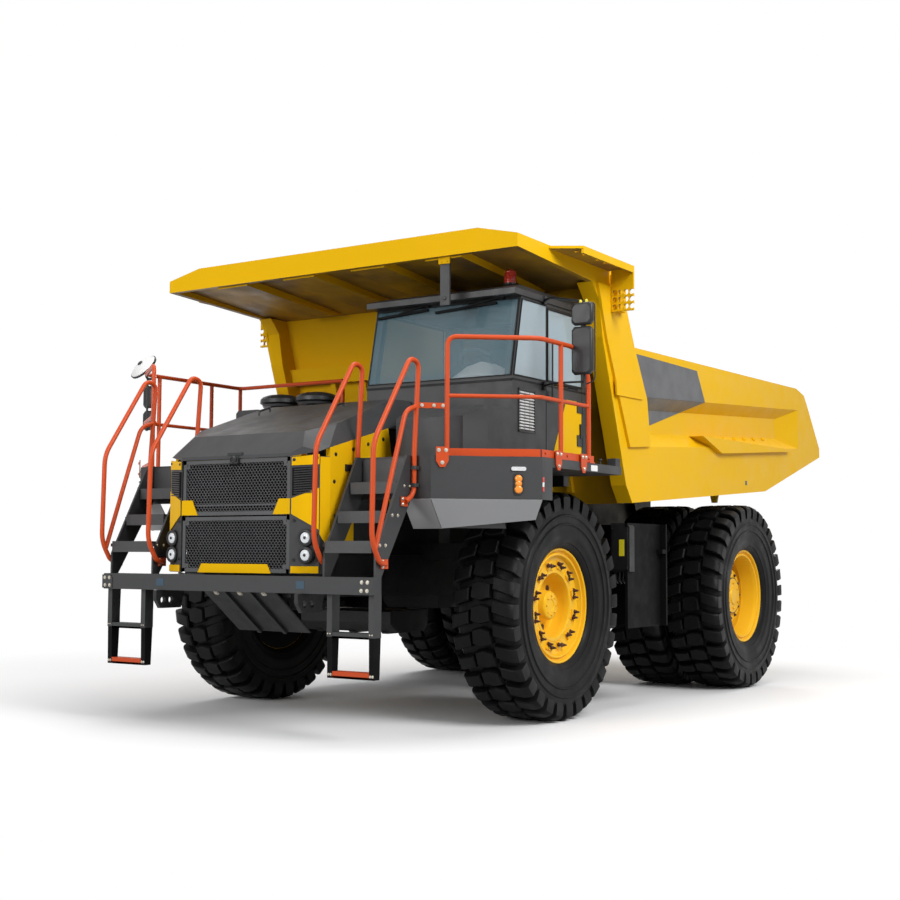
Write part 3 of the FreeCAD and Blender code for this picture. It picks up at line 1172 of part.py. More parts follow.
def handrails():
    top = DECK_TOP + " + rail_height"
    middle = DECK_TOP + " + mid_rail_height"
    front = [("rail_inner_x", "rail_inner_y"), ("rail_corner_x", "rail_side_y")]
    left = [pipe("left_top_rail", "xy", front + [("rail_slope_x", "rail_side_y")], top),
            pipe("left_end_rail", "xz", [
                ("rail_slope_x", top),
                ("rail_end_x", DECK_TOP + " + rail_end_height"),
                ("rail_end_x", DECK_TOP),
            ], "rail_side_y"),
            pipe("left_middle_rail", "xy", front + [("rail_end_x", "rail_side_y")], middle)]
    back = [("rail_right_end_x", "rail_side_y"), ("rail_right_end_x", "deck_inner_y")]
    right = [pipe("right_%s_rail" % name, "xy", front + back, z) for name, z in (("top", top), ("middle", middle))]
    height = "rail_height + rail_tube / 2"
    posts = [post("deck_post%d" % i, (x, y, DECK_TOP), height, "rail_post", TUBE_SIDES)
             for i, (x, y) in enumerate((("rail_inner_x", "rail_inner_y"), ("rail_post_x", "rail_side_y")))]
    right += [post("right_post%d" % i, (x, y, DECK_TOP), height, "rail_post", TUBE_SIDES)
              for i, (x, y) in enumerate([("rail_end_x", "rail_side_y")] + back)]
    loops = []
    for name, y in (("outer", "stair_outer_y - stair_plate / 2"), ("inner", "stair_inner_y + stair_plate / 2")):
        rail = pipe("stair_rail_" + name, "xz", [
            ("loop_rear_x", DECK_TOP),
            ("loop_rear_x", "loop_head_z - 3 * rail_bend"),
            ("loop_rear_x + rail_bend", "loop_head_z - rail_bend / 2"),
            ("loop_head_x", "loop_head_z"),
            ("loop_head_x + rail_bend", "loop_head_z - rail_bend / 2"),
            ("loop_front_x", "loop_kink_z"),
            ("loop_front_x", "loop_foot_z"),
            ("loop_front_x - rail_bend", "loop_foot_z - 2 * rail_bend"),
            ("loop_front_x - rail_bend", BUMPER_TOP),
        ], y)
        loops.append(rail)
    brace = pipe("stair_rail_brace", "xz", [
        ("loop_rear_x", "loop_brace_z"),
        ("loop_rear_x + 4 * rail_bend", "loop_brace_z - rail_bend"),
        ("loop_front_x - rail_bend", "loop_foot_z - rail_bend"),
    ], "stair_outer_y - stair_plate / 2")
    loops[0] = fuse("stair_rail_outer_braced", [loops[0], brace])
    node("handrails_left", [fuse("handrails_left_solid", left + posts)] + loops)
    node("handrails_right", [mirrored("handrails_right_solid", fuse("right_deck_rail", right + posts))]
         + [mirrored(loop.Name + "_right", loop) for loop in loops])


# ---------------------------------------------------------------------------------------------
# Front end
# ---------------------------------------------------------------------------------------------

SIDE_EDGE_RISE = "hood_side_rise / (hood_side_x - hood_side_rear_x)"
CORNER_SPREAD = "((hood_top_half - hood_crease_half) / (hood_crease_x - hood_shoulder_x))"
CORNER_RISE = "((hood_shoulder_z - hood_crease_z) / (hood_crease_x - hood_shoulder_x))"


def side_edge(x):
    """Height of the side panels' top edge, where the hood rests on them."""
    return "(hood_side_z + %s * (hood_side_x - (%s)))" % (SIDE_EDGE_RISE, x)


HOOD_LEAN = "((hood_half_width - hood_top_half) / (hood_shoulder_z - %s))" % side_edge("hood_shoulder_x")


def hood_form(name, inset):
    """Side view, plan and sloping cross section of the hood, all of them smaller by an inset."""
    rear_edge = side_edge("hood_side_rear_x")
    side_view = centred(name + "_side_view", "xz", [
        ("hood_front_x - " + inset, "hood_nose_z - hood_plate - " + inset),
        ("hood_front_x - " + inset, "hood_nose_z - " + inset),
        ("hood_crease_x - " + inset, "hood_crease_z - " + inset),
        ("hood_shoulder_x", "hood_shoulder_z - " + inset),
        ("hood_top_x", "hood_top_z - " + inset),
        ("hood_rear_x", "hood_top_z - " + inset),
        ("hood_rear_x", rear_edge + " - " + inset),
        ("hood_side_rear_x", rear_edge + " - " + inset),
        ("hood_side_x", "hood_side_z - " + inset),
    ], "0", "2 * hood_half_width")
    edge = [("hood_rear_x", "hood_half_width"), ("hood_side_x", "hood_half_width"),
            ("hood_corner_x", "hood_corner_y"), ("hood_front_x", "hood_nose_half")]
    edge = [(x + " - " + inset, y + " - " + inset) for x, y in edge]
    plan = slab(name + "_plan", "xy", edge + [(x, "-(%s)" % y) for x, y in reversed(edge)],
                "hood_side_bottom_z", "2 * (hood_top_z - hood_side_bottom_z)")
    foot = side_edge("hood_front_x")
    reach = "(hood_top_z - hood_side_z)"
    flank = [("hood_half_width", foot + " - " + reach), ("hood_half_width", foot),
             ("hood_half_width - %s * %s" % (HOOD_LEAN, reach), foot + " + " + reach)]
    flank = [(y + " - " + inset, z) for y, z in flank]
    section = sloping(name + "_section", flank + [("-(%s)" % y, z) for y, z in reversed(flank)],
                      "hood_front_x", "hood_rear_x", SIDE_EDGE_RISE)
    start = ("(hood_crease_half - %s * (hood_front_x - hood_crease_x))" % CORNER_SPREAD,
             "(hood_crease_z - %s * (hood_front_x - hood_crease_x) - %s)" % (CORNER_RISE, inset))
    fall = "(hood_crease_z - hood_corner_z)"
    corner = slab(name + "_corner", "yz", [
        start,
        ("%s + 2 * (hood_corner_y - hood_crease_half)" % start[0], "%s - 2 * %s" % (start[1], fall)),
        ("%s + 2 * (hood_corner_y - hood_crease_half)" % start[0], "%s + %s" % (start[1], fall)),
        (start[0], "%s + %s" % (start[1], fall)),
    ], "hood_front_x", "sqrt(1 + %s^2 + %s^2) * (hood_front_x - hood_shoulder_x)" % (CORNER_SPREAD, CORNER_RISE))
    bind(corner, "Dir", vector(("-1", CORNER_SPREAD, CORNER_RISE)))
    return cut(name, common(name + "_block", [side_view, plan, section]), fuse(name + "_corners", both(corner)))


def hood():
    node("hood", [cut("hood_solid", hood_form("hood_outer", "0"), hood_form("hood_inner", "hood_plate"))])


def hood_sides():
    corner = "(hood_side_rear_x - hood_side_rake)"
    side = slab("hood_side_panel", "xz", [
        ("hood_side_x", "hood_side_bottom_z"),
        ("hood_side_x", side_edge("hood_side_x")),
        ("hood_side_rear_x", side_edge("hood_side_rear_x")),
        (corner, DECK_UNDER),
        ("deck_front_x + running_gap", DECK_UNDER),
        ("deck_front_x + running_gap", "hood_side_bottom_z"),
    ], "hood_half_width - hood_plate", "hood_plate")
    node("hood_sides", both(side))


def grille():
    """Framed grille of two fields of bars, between the lamp panels."""
    top = "hood_nose_z - hood_plate"
    half = "(hood_nose_half - grille_frame)"
    panel = box("grille_panel", ("hood_front_x - hood_plate", "-hood_nose_half", "hood_bottom_z"),
                ("hood_plate", "2 * hood_nose_half", top + " - hood_bottom_z"))
    fields = [box("grille_field%d" % i, ("hood_front_x - 2 * hood_plate", "-" + half, low + " + grille_frame"),
                  ("3 * hood_plate", "2 * " + half, "(%s) - (%s) - 2 * grille_frame" % (high, low)))
              for i, (low, high) in enumerate((("hood_bottom_z", "grille_split_z"), ("grille_split_z", top)))]
    bars = [box("grille_bar%d" % i, ("hood_front_x - hood_plate", "-hood_nose_half + grille_frame / 2",
                                     "hood_bottom_z + grille_frame + grille_pitch * %g" % (i + 0.5)),
                ("hood_plate / 2", "2 * hood_nose_half - grille_frame", "grille_bar")) for i in range(GRILLE_BARS)]
    node("grille", [fuse("grille_solid", [cut("grille_frame_form", panel, fuse("grille_fields", fields))] + bars)])


GRILLE_BARS = 15


def front_lamps():
    """Angled corner panels beside the grille with two head lamps each."""
    panel = slab("lamp_panel", "xy", [
        ("hood_front_x", "hood_nose_half"),
        ("hood_corner_x", "hood_corner_y"),
        ("hood_side_x", "hood_half_width"),
        ("hood_side_x", "hood_half_width - hood_plate"),
        ("hood_corner_x - hood_plate", "hood_corner_y - hood_plate"),
        ("hood_front_x - hood_plate", "hood_nose_half"),
    ], "hood_bottom_z", "hood_nose_z - hood_plate - hood_bottom_z")
    lamps = [bar("head_lamp%d" % i, ("lamp_x - lamp_reach", "lamp_y", z), ("lamp_x", "lamp_y", z), "lamp_radius", SIDES)
             for i, z in enumerate(("lamp_z", "lamp_z - lamp_pitch"))]
    node("front_lamps", both(fuse("lamp_corner", [panel] + lamps)))


def air_intakes():
    intakes = []
    for i in range(2):
        point = ("intake_x", "-intake_y - %d * intake_pitch" % i)
        stem = post("intake_stem%d" % i, point + (DECK_TOP,), "intake_height", "intake_pipe_radius", 12)
        rim = post("intake_rim%d" % i, point + (DECK_TOP + " + intake_height",), "intake_cap / 2",
                   "intake_radius", 16)
        dome = post("intake_dome%d" % i, point + (DECK_TOP + " + intake_height",), "intake_cap",
                    "intake_radius - intake_cap / 2", 16)
        intakes.append(fuse("air_intake%d" % i, [stem, rim, dome]))
    node("air_intakes", intakes)


def front_bumper():
    beam = box("bumper_beam", ("bumper_front_x - bumper_depth", "-bumper_half_width", "bumper_bottom_z"),
               ("bumper_depth", "2 * bumper_half_width", "bumper_height"))
    rear = "bumper_front_x - bumper_depth + skid_plate"
    skid = slab("bumper_skid", "xz", [
        (rear, "bumper_bottom_z + skid_plate"),
        (rear + " + skid_plate", "bumper_bottom_z + skid_plate"),
        ("skid_foot_x + skid_plate", "skid_foot_z"),
        ("skid_foot_x", "skid_foot_z"),
    ], "-skid_half_width", "2 * skid_half_width")
    node("front_bumper", [fuse("bumper_solid", [beam, skid])])


# ---------------------------------------------------------------------------------------------
# Cab
# ---------------------------------------------------------------------------------------------

SCREEN_LEAN = "(cab_front_x - cab_screen_top_x) / (cab_head_z - cab_sill_z)"
WINDOW_FOOT = "(cab_sill_z + window_edge)"
WINDOW_HEAD = "(cab_head_z - window_edge)"
HINGE_X = "(door_rear_x + door_gap / 2)"
HINGE_Y = "(cab_outer_y + hinge_radius)"
DOOR_FOOT = "(%s + door_sill)" % DECK_TOP
WHEEL_X = "(console_x - column_run * column_lean / sqrt(1 + column_lean^2))"
WHEEL_Z = "(%s + console_height + column_run / sqrt(1 + column_lean^2))" % CAB_FLOOR
COLUMN_TURN = "rotation(vector(0; 0; 1); vector(-column_lean; 0; 1))"


def screen_at(z, behind):
    """Distance along the truck of a plane behind the windscreen's face, at a height."""
    return "cab_front_x - (%s) * ((%s) - cab_sill_z) - %s" % (SCREEN_LEAN, z, behind)


def window_outline(front, rear):
    """Side window: upright behind, leaning with the windscreen in front."""
    return [(rear, WINDOW_FOOT), (screen_at(WINDOW_FOOT, front), WINDOW_FOOT),
            (screen_at(WINDOW_HEAD, front), WINDOW_HEAD), (rear, WINDOW_HEAD)]


def cab_shell():
    outer = slab("cab_outer", "xz", [
        ("cab_rear_x", DECK_TOP),
        ("cab_front_x", DECK_TOP),
        ("cab_front_x", "cab_sill_z"),
        ("cab_screen_top_x", "cab_head_z"),
        ("cab_rear_x", "cab_head_z"),
    ], "cab_inner_y", "cab_outer_y - cab_inner_y")
    inner = slab("cab_hollow", "xz", [
        ("cab_rear_x + cab_wall", CAB_FLOOR),
        ("cab_front_x - cab_wall", CAB_FLOOR),
        ("cab_front_x - cab_wall", "cab_sill_z"),
        ("cab_screen_top_x - cab_wall", "cab_head_z"),
        ("cab_rear_x + cab_wall", "cab_head_z"),
    ], "cab_inner_y + cab_wall", "cab_outer_y - cab_inner_y - 2 * cab_wall")
    door = box("cab_door_opening", ("door_rear_x", "cab_outer_y - 1.5 * cab_wall", DOOR_FOOT),
               ("door_front_x - door_rear_x", "2 * cab_wall", "%s - %s" % (WINDOW_HEAD, DOOR_FOOT)))
    screen = box("cab_screen_opening", ("cab_screen_top_x - 2 * cab_wall", "cab_inner_y + cab_pillar", WINDOW_FOOT),
                 ("cab_front_x - cab_screen_top_x + 3 * cab_wall", "cab_outer_y - cab_inner_y - 2 * cab_pillar",
                  "%s - %s" % (WINDOW_HEAD, WINDOW_FOOT)))
    rear = box("cab_rear_opening", ("cab_rear_x - cab_wall", "cab_inner_y + 2 * cab_pillar", WINDOW_FOOT),
               ("3 * cab_wall", "cab_outer_y - cab_inner_y - 4 * cab_pillar", "%s - %s" % (WINDOW_HEAD, WINDOW_FOOT)))
    quarter = slab("cab_quarter_opening", "xz", window_outline("cab_pillar", "door_front_x + cab_wall"),
                   "cab_outer_y - 1.5 * cab_wall", "2 * cab_wall")
    side = slab("cab_side_opening", "xz", window_outline("cab_pillar", "cab_rear_x + cab_pillar"),
                "cab_inner_y - cab_wall / 2", "2 * cab_wall")
    walls = cut("cab_walls", outer, fuse("cab_openings", [inner, door, screen, rear, quarter, side]))
    eave = [("cab_rear_x - cab_roof_reach", "cab_inner_y - cab_roof_reach"),
            ("cab_screen_top_x + cab_visor", "cab_inner_y - cab_roof_reach"),
            ("cab_screen_top_x + cab_visor", "cab_outer_y + cab_roof_reach"),
            ("cab_rear_x - cab_roof_reach", "cab_outer_y + cab_roof_reach")]
    crown = [("cab_rear_x", "cab_inner_y + cab_roof_reach"),
             ("cab_screen_top_x", "cab_inner_y + cab_roof_reach"),
             ("cab_screen_top_x", "cab_outer_y - cab_roof_reach"),
             ("cab_rear_x", "cab_outer_y - cab_roof_reach")]
    roof = [slab("cab_roof_edge", "xy", eave, "cab_head_z", "cab_roof_z - cab_head_z - cab_roof_chamfer"),
            loft("cab_roof_crown", [outline("cab_roof_eave", "xy", eave, "cab_roof_z - cab_roof_chamfer"),
                                    outline("cab_roof_top", "xy", crown, "cab_roof_z")])]
    fairing = slab("cab_fairing_block", "xz", [
        ("cab_front_x", DECK_TOP),
        ("fairing_front_x", DECK_TOP),
        ("fairing_front_x", "fairing_step_z"),
        ("fairing_front_x - fairing_slope", "fairing_top_z"),
        ("cab_front_x", "fairing_top_z"),
    ], "fairing_inner_y", "cab_outer_y - fairing_inner_y")
    corner = slab("cab_fairing_corner", "xy", [
        ("fairing_front_x", "fairing_outer_y"),
        ("fairing_front_x", "cab_outer_y"),
        ("fairing_front_x - fairing_slope", "cab_outer_y"),
    ], DECK_TOP, "fairing_top_z - " + DECK_TOP)
    node("cab_shell", [fuse("cab_solid", [walls, cut("cab_fairing", fairing, corner)] + roof)])


def cab_door():
    length = "(door_front_x - door_rear_x - 2 * door_gap)"
    panel = box("door_panel", ("door_rear_x + door_gap", "cab_outer_y - cab_wall", DOOR_FOOT + " + door_gap"),
                (length, "cab_wall", "%s - %s - 2 * door_gap" % (WINDOW_HEAD, DOOR_FOOT)))
    start = "door_rear_x + door_gap + door_frame"
    size = (length + " - 2 * door_frame", "glass_thickness", "%s - cab_sill_z - 2 * door_frame" % WINDOW_HEAD)
    window = box("door_opening", (start, "cab_outer_y - 1.5 * cab_wall", "cab_sill_z"),
                 (size[0], "2 * cab_wall", size[2]))
    hinges = []
    for i, z in enumerate((DOOR_FOOT + " + hinge_length", "cab_sill_z - 2 * hinge_length")):
        hinges.append(rod("door_hinge%d" % i, (HINGE_X, HINGE_Y, z), (HINGE_X, HINGE_Y, z + " + hinge_length"),
                          "hinge_radius"))
        hinges.append(box("door_hinge_leaf%d" % i, (HINGE_X + " + door_gap", "cab_outer_y", z),
                          ("hinge_length", "hinge_radius", "hinge_length")))
    handle = box("door_handle", ("door_front_x - 2.5 * door_frame", "cab_outer_y", "cab_sill_z - 2 * door_frame"),
                 ("1.5 * door_frame", "hinge_radius", "hinge_radius"))
    node("cab_door", [fuse("door_solid", [cut("door_leaf", panel, window), handle] + hinges)])
    node("door_window", [box("door_glass", (start, "cab_outer_y - cab_wall / 2", "cab_sill_z"), size)])


def cab_windows():
    set_back = "cab_wall / 2"
    screen = slab("windscreen", "xz", [
        (screen_at(WINDOW_FOOT, set_back), WINDOW_FOOT),
        (screen_at(WINDOW_HEAD, set_back), WINDOW_HEAD),
        (screen_at(WINDOW_HEAD, set_back) + " - glass_thickness", WINDOW_HEAD),
        (screen_at(WINDOW_FOOT, set_back) + " - glass_thickness", WINDOW_FOOT),
    ], "cab_inner_y + cab_pillar", "cab_outer_y - cab_inner_y - 2 * cab_pillar")
    quarter = slab("quarter_window", "xz", window_outline("cab_pillar", "door_front_x + cab_wall"),
                   "cab_outer_y - cab_wall / 2", "glass_thickness")
    side = slab("side_window", "xz", window_outline("cab_pillar", "cab_rear_x + cab_pillar"),
                "cab_inner_y + cab_wall / 2 - glass_thickness", "glass_thickness")
    rear = box("rear_window", ("cab_rear_x + cab_wall / 2", "cab_inner_y + 2 * cab_pillar", WINDOW_FOOT),
               ("glass_thickness", "cab_outer_y - cab_inner_y - 4 * cab_pillar", "%s - %s" % (WINDOW_HEAD, WINDOW_FOOT)))
    node("cab_windows", [screen, quarter, side, rear])


def cab_interior():
    cushion = "%s + seat_height" % CAB_FLOOR
    seat = fuse("seat_solid", [
        box("seat_base", ("seat_x - seat_depth / 3", "seat_y - seat_width / 3", CAB_FLOOR),
            ("2 * seat_depth / 3", "2 * seat_width / 3", "seat_height")),
        box("seat_cushion", ("seat_x - seat_depth / 2", "seat_y - seat_width / 2", cushion),
            ("seat_depth", "seat_width", "seat_pad")),
        slab("seat_back", "xz", [
            ("seat_x - seat_depth / 2", cushion),
            ("seat_x - seat_depth / 2 - seat_pad", cushion + " + seat_back_height"),
            ("seat_x - seat_depth / 2", cushion + " + seat_back_height"),
            ("seat_x - seat_depth / 2 + seat_pad", cushion),
        ], "seat_y - seat_width / 2", "seat_width"),
    ])
    console = slab("console", "xz", [
        ("console_x", CAB_FLOOR),
        ("cab_front_x - cab_wall", CAB_FLOOR),
        ("cab_front_x - cab_wall", CAB_FLOOR + " + console_height + column_radius"),
        ("console_x", CAB_FLOOR + " + console_height + column_radius"),
    ], "cab_inner_y + cab_wall", "cab_outer_y - cab_inner_y - 2 * cab_wall")
    column = rod("steering_column", ("console_x + column_lean * column_radius", "seat_y",
                                     CAB_FLOOR + " + console_height - column_radius"),
                 (WHEEL_X, "seat_y", WHEEL_Z), "column_radius")
    node("cab_interior", [seat, fuse("console_solid", [console, column])])
    rim = post("steering_rim", ("0", "0", "pin_gap"), "2 * wheel_rim", "wheel_radius", 12)
    hole = post("steering_rim_hole", ("0", "0", "-wheel_rim"), "4 * wheel_rim", "wheel_radius - 2 * wheel_rim", 12)
    spoke = box("steering_spoke", ("-wheel_rim", "-wheel_radius + wheel_rim", "pin_gap"),
                ("2 * wheel_rim", "2 * wheel_radius - 2 * wheel_rim", "wheel_rim"))
    hub = rod("steering_hub", ("0", "0", "pin_gap"), ("0", "0", "pin_gap + 2 * wheel_rim"), "1.5 * column_radius")
    wheel = fuse("steering_wheel_form", [cut("steering_ring", rim, hole), spoke, hub])
    node("steering_wheel", [copy("steering_wheel_set", wheel, (WHEEL_X, "seat_y", WHEEL_Z), COLUMN_TURN)])


# ---------------------------------------------------------------------------------------------
# Mirrors, tanks and mud flaps
# ---------------------------------------------------------------------------------------------


def mirrors():
    """Mirrors on the outside of the deck rails, each with its arm."""
    outside = "rail_side_y + rail_tube"
    left = fuse("mirror_left", [
        box("mirror_left_glass", ("mirror_left_x", outside + " + mirror_arm", "mirror_left_z"),
            ("mirror_depth", "mirror_width", "mirror_left_height")),
        box("mirror_left_arm", ("mirror_left_x", outside, DECK_TOP + " + rail_height - mirror_depth"),
            ("mirror_depth", "mirror_arm", "mirror_depth")),
    ])
    right = fuse("mirror_right", [
        box("mirror_right_glass", ("mirror_right_x", outside + " + mirror_arm", "mirror_right_z"),
            ("mirror_depth", "mirror_width", "mirror_right_height")),
        box("mirror_right_arm", ("mirror_right_x", outside, DECK_TOP + " + rail_height - mirror_depth"),
            ("mirror_depth", "mirror_arm", "mirror_depth")),
    ])
    node("mirrors", [left, mirrored("mirror_right_set", right)])


def side_tanks():
    inner = "rail_y + rail_width / 2"
    tank = slab("side_tank", "yz", [
        (inner, "tank_bottom_z"),
        (inner + " + tank_width", "tank_bottom_z"),
        (inner + " + tank_width + tank_bulge", "tank_bottom_z + tank_bulge"),
        (inner + " + tank_width + tank_bulge", "tank_bottom_z + tank_height - tank_bulge"),
        (inner + " + tank_width", "tank_bottom_z + tank_height"),
        (inner, "tank_bottom_z + tank_height"),
    ], "tank_front_x - tank_length", "tank_length")
    node("side_tanks", both(tank))


def mudflaps():
    flap = box("mudflap_sheet", ("flap_x", "flap_inner_y", "flap_bottom_z"),
               ("flap_plate", "flap_outer_y - flap_inner_y", "flap_top_z - flap_bottom_z"))
    arm = box("mudflap_arm", ("flap_x + flap_plate", "rail_y + rail_width / 2", rail_at("flap_x") + " - flap_arm / 2"),
              ("flap_arm", "flap_outer_y - rail_y - rail_width / 2", "flap_arm / 2"))
    panel = box("mudflap_panel", ("flap_x + flap_plate + flap_arm", "panel_inner_y", "flap_bottom_z"),
                ("panel_length", "flap_plate", "flap_top_z - flap_bottom_z"))
    back = box("mudflap_panel_foot", ("flap_x + flap_plate", "panel_inner_y", "flap_bottom_z"),
               ("flap_arm", "flap_plate", "flap_top_z - flap_bottom_z"))
    node("mudflaps", both(fuse("mudflap", [flap, arm, panel, back])))


chassis_frame()
strut_towers()
front_bumper()
hood()
hood_sides()
grille()
front_lamps()
air_intakes()
cab_shell()
cab_door()
cab_windows()
cab_interior()
decks()
stairs()
handrails()
mirrors()
side_tanks()
mudflaps()
running_gear()
wheels()
hoists()
bed_floor()
bed_sides()
bed_front()
canopy()
doc.recompute()

os.makedirs("parts", exist_ok=True)
for piece in NODES:
    if piece.Shape.isNull() or not piece.Shape.isValid() or "Invalid" in piece.State or "Error" in piece.State:
        raise RuntimeError("%s is broken: %s" % (piece.Label, piece.State))
    piece.Shape.exportStep("parts/%s.step" % piece.Label)
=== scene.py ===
"""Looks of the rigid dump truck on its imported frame, in metres: X forward, Y left, Z up."""
import json
import math

import bpy
from mathutils import Matrix, Vector

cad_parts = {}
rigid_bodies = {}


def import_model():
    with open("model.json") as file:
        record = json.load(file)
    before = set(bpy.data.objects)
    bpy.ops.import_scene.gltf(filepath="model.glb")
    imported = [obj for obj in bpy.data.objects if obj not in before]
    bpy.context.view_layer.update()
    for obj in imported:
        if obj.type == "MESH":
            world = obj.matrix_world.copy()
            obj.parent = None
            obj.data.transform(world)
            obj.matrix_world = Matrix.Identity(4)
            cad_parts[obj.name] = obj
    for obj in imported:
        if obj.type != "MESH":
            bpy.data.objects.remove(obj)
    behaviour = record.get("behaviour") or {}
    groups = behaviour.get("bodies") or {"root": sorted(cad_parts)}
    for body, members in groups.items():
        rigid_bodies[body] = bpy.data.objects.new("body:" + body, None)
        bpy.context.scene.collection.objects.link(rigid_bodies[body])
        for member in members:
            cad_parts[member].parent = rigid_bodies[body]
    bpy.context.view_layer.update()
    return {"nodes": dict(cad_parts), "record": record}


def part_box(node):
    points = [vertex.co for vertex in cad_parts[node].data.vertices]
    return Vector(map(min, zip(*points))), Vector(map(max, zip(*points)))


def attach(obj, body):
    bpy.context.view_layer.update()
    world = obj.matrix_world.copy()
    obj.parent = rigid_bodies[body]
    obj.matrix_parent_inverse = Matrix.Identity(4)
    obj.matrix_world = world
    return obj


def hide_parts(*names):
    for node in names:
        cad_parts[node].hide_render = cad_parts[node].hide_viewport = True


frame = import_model()
record = frame["record"]
nodes = frame["nodes"]

AHEAD, LEFT, UP = (1, 0, 0), (0, 1, 0), (0, 0, 1)
HANDS = (("left", 1), ("right", -1))


def middle(node):
    low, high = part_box(node)
    return (Vector(low) + Vector(high)) / 2


AXLE = middle("tyre_front_left")
FRONT_TYRE_Y = AXLE.y
TYRE_R = AXLE.z
REAR_AXLE_X = middle("tyres_rear_left").x
TWIN_Y = middle("tyres_rear_left").y
TYRE_W = 2 * (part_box("tyre_front_left")[1][1] - FRONT_TYRE_Y)
TWIN_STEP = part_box("tyres_rear_left")[1][1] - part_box("tyres_rear_left")[0][1] - TYRE_W


def at(x, y, z):
    """Point given by its distance ahead of the front axle."""
    return Vector((x + AXLE.x, y, z))


def placed(name, data):
    """Object with its data, in the scene."""
    obj = bpy.data.objects.new(name, data)
    bpy.context.scene.collection.objects.link(obj)
    return obj


# ------------------------------------------------------------------ materials

DUST = (0.42, 0.36, 0.28)
SCUFF = (0.055, 0.052, 0.046)
# Black of the painted shade low on the bed, and the height over which it fades in.
PAINTED_SHADE_BLACK = (0.006, 0.0062, 0.007)
PAINTED_SHADE_BLUR = 0.012
# Span across the truck over which the front wall's painted side shade grows.
SIDE_SHADE_START, SIDE_SHADE_END = 1.2, 1.9
BUMP_DEPTH = 0.004


def feed(tree, node, inputs):
    """Inputs of a node by name or place: another node's output is linked, anything else is set."""
    for socket, value in inputs.items():
        if isinstance(value, bpy.types.NodeSocket):
            tree.links.new(value, node.inputs[socket])
        else:
            node.inputs[socket].default_value = value


def made(tree, kind, inputs=None, **settings):
    """New shader node with its settings and inputs."""
    node = tree.nodes.new("ShaderNode" + kind)
    for name, value in settings.items():
        setattr(node, name, value)
    feed(tree, node, inputs or {})
    return node


def node_tree(name):
    material = bpy.data.materials.new(name)
    material.use_nodes = True
    tree = material.node_tree
    tree.nodes.clear()
    shader = made(tree, "BsdfPrincipled")
    made(tree, "OutputMaterial", {"Surface": shader.outputs[0]})
    return material, tree, shader


def here(tree):
    """Place on the piece, in the truck's frame at rest."""
    return made(tree, "TexCoord").outputs["Object"]


def noise(tree, scale, detail=4.0, stretch=(1, 1, 1)):
    """Noise on the piece's own coordinates."""
    place = made(tree, "Mapping", {"Scale": stretch, "Vector": here(tree)}).outputs["Vector"]
    return made(tree, "TexNoise", {"Scale": scale, "Detail": detail, "Vector": place}).outputs["Fac"]


def spread(tree, value, low, high, start=0.0, end=1.0):
    """Value between start and end stretched to low and high."""
    inputs = {"Value": value, "From Min": start, "From Max": end, "To Min": low, "To Max": high}
    return made(tree, "MapRange", inputs).outputs["Result"]


def patches(tree, scale, detail, low, high, start=0.0, end=1.0):
    """Soft patches of noise, stretched to low and high."""
    return spread(tree, noise(tree, scale, detail), low, high, start, end)


def times(tree, a, b):
    return made(tree, "Math", {0: a, 1: b}, operation="MULTIPLY").outputs[0]


def mixed(tree, factor, a, b):
    a, b = (c + (1.0,) if isinstance(c, tuple) else c for c in (a, b))
    return made(tree, "Mix", {"Factor": factor, "A": a, "B": b}, data_type="RGBA").outputs["Result"]


def facing(tree, start=0.3, end=1.0):
    """From 0 to 1 as a face turns from upright towards looking up, or down where the limits are negative."""
    normal = made(tree, "SeparateXYZ", {"Vector": made(tree, "NewGeometry").outputs["Normal"]})
    return spread(tree, normal.outputs["Z"], 0.0, 1.0, start, end)


def along(tree, axis, start, end):
    """From 0 to 1 between two places along an axis of the truck at rest."""
    place = made(tree, "SeparateXYZ", {"Vector": here(tree)})
    return spread(tree, place.outputs[axis], 0.0, 1.0, start, end)


def bump(tree, height, strength):
    inputs = {"Strength": strength, "Distance": BUMP_DEPTH, "Height": height}
    return made(tree, "Bump", inputs).outputs["Normal"]


def paint(name, colour, rough=0.35, dust=0.22, coat=0.25, grain=220.0, shine=0.5, tint=(1, 1, 1),
          under=None, painted_shade_height=None, edge=None):
    """Sprayed paint: a soft change of tone, fine orange peel, dust on what looks up and in small flecks.

    under is the colour of a painted shade on what looks down, sill is the height below which faces that don't
    look up get a painted black shade, and edge is the colour of a painted shade that grows towards the truck's
    left side.
    """
    material, tree, shader = node_tree(name)
    dark = tuple(c * 0.95 for c in colour)
    tone = mixed(tree, patches(tree, 0.45, 3.0, 0.0, 1.0, 0.3, 0.7), dark, colour)
    # Painted shade: what looks down is darkened to a brown, in soft patches.
    if under:
        painted_shade_patches = patches(tree, 1.6, 5.0, 0.55, 1.0, 0.35, 0.65)
        tone = mixed(tree, times(tree, facing(tree, -0.25, -0.75), painted_shade_patches), tone, under)
    # Painted shade: below a height, faces that don't look up turn black.
    if painted_shade_height:
        low = times(tree, along(tree, "Z", painted_shade_height + PAINTED_SHADE_BLUR, painted_shade_height), facing(tree, 0.4, 0.2))
        tone = mixed(tree, low, tone, PAINTED_SHADE_BLACK)
    # Painted shade: the colour darkens towards the truck's left side.
    if edge:
        tone = mixed(tree, along(tree, "Y", SIDE_SHADE_START, SIDE_SHADE_END), tone, edge)
    cover = times(tree, patches(tree, 3.0, 6.0, dust * 0.2, dust, 0.35, 0.75), facing(tree))
    flecks = patches(tree, 26.0, 8.0, 0.0, 0.3 * dust, 0.52, 0.78)
    feed(tree, shader, {
        "Base Color": mixed(tree, flecks, mixed(tree, cover, tone, DUST), DUST),
        "Roughness": patches(tree, 5.0, 7.0, rough * 0.8, rough * 1.3, 0.3, 0.7),
        "Specular IOR Level": shine, "Specular Tint": tint + (1.0,),
        "Coat Weight": coat, "Coat Roughness": 0.18,
        "Normal": bump(tree, noise(tree, grain, 3.0), 0.05)})
    return material


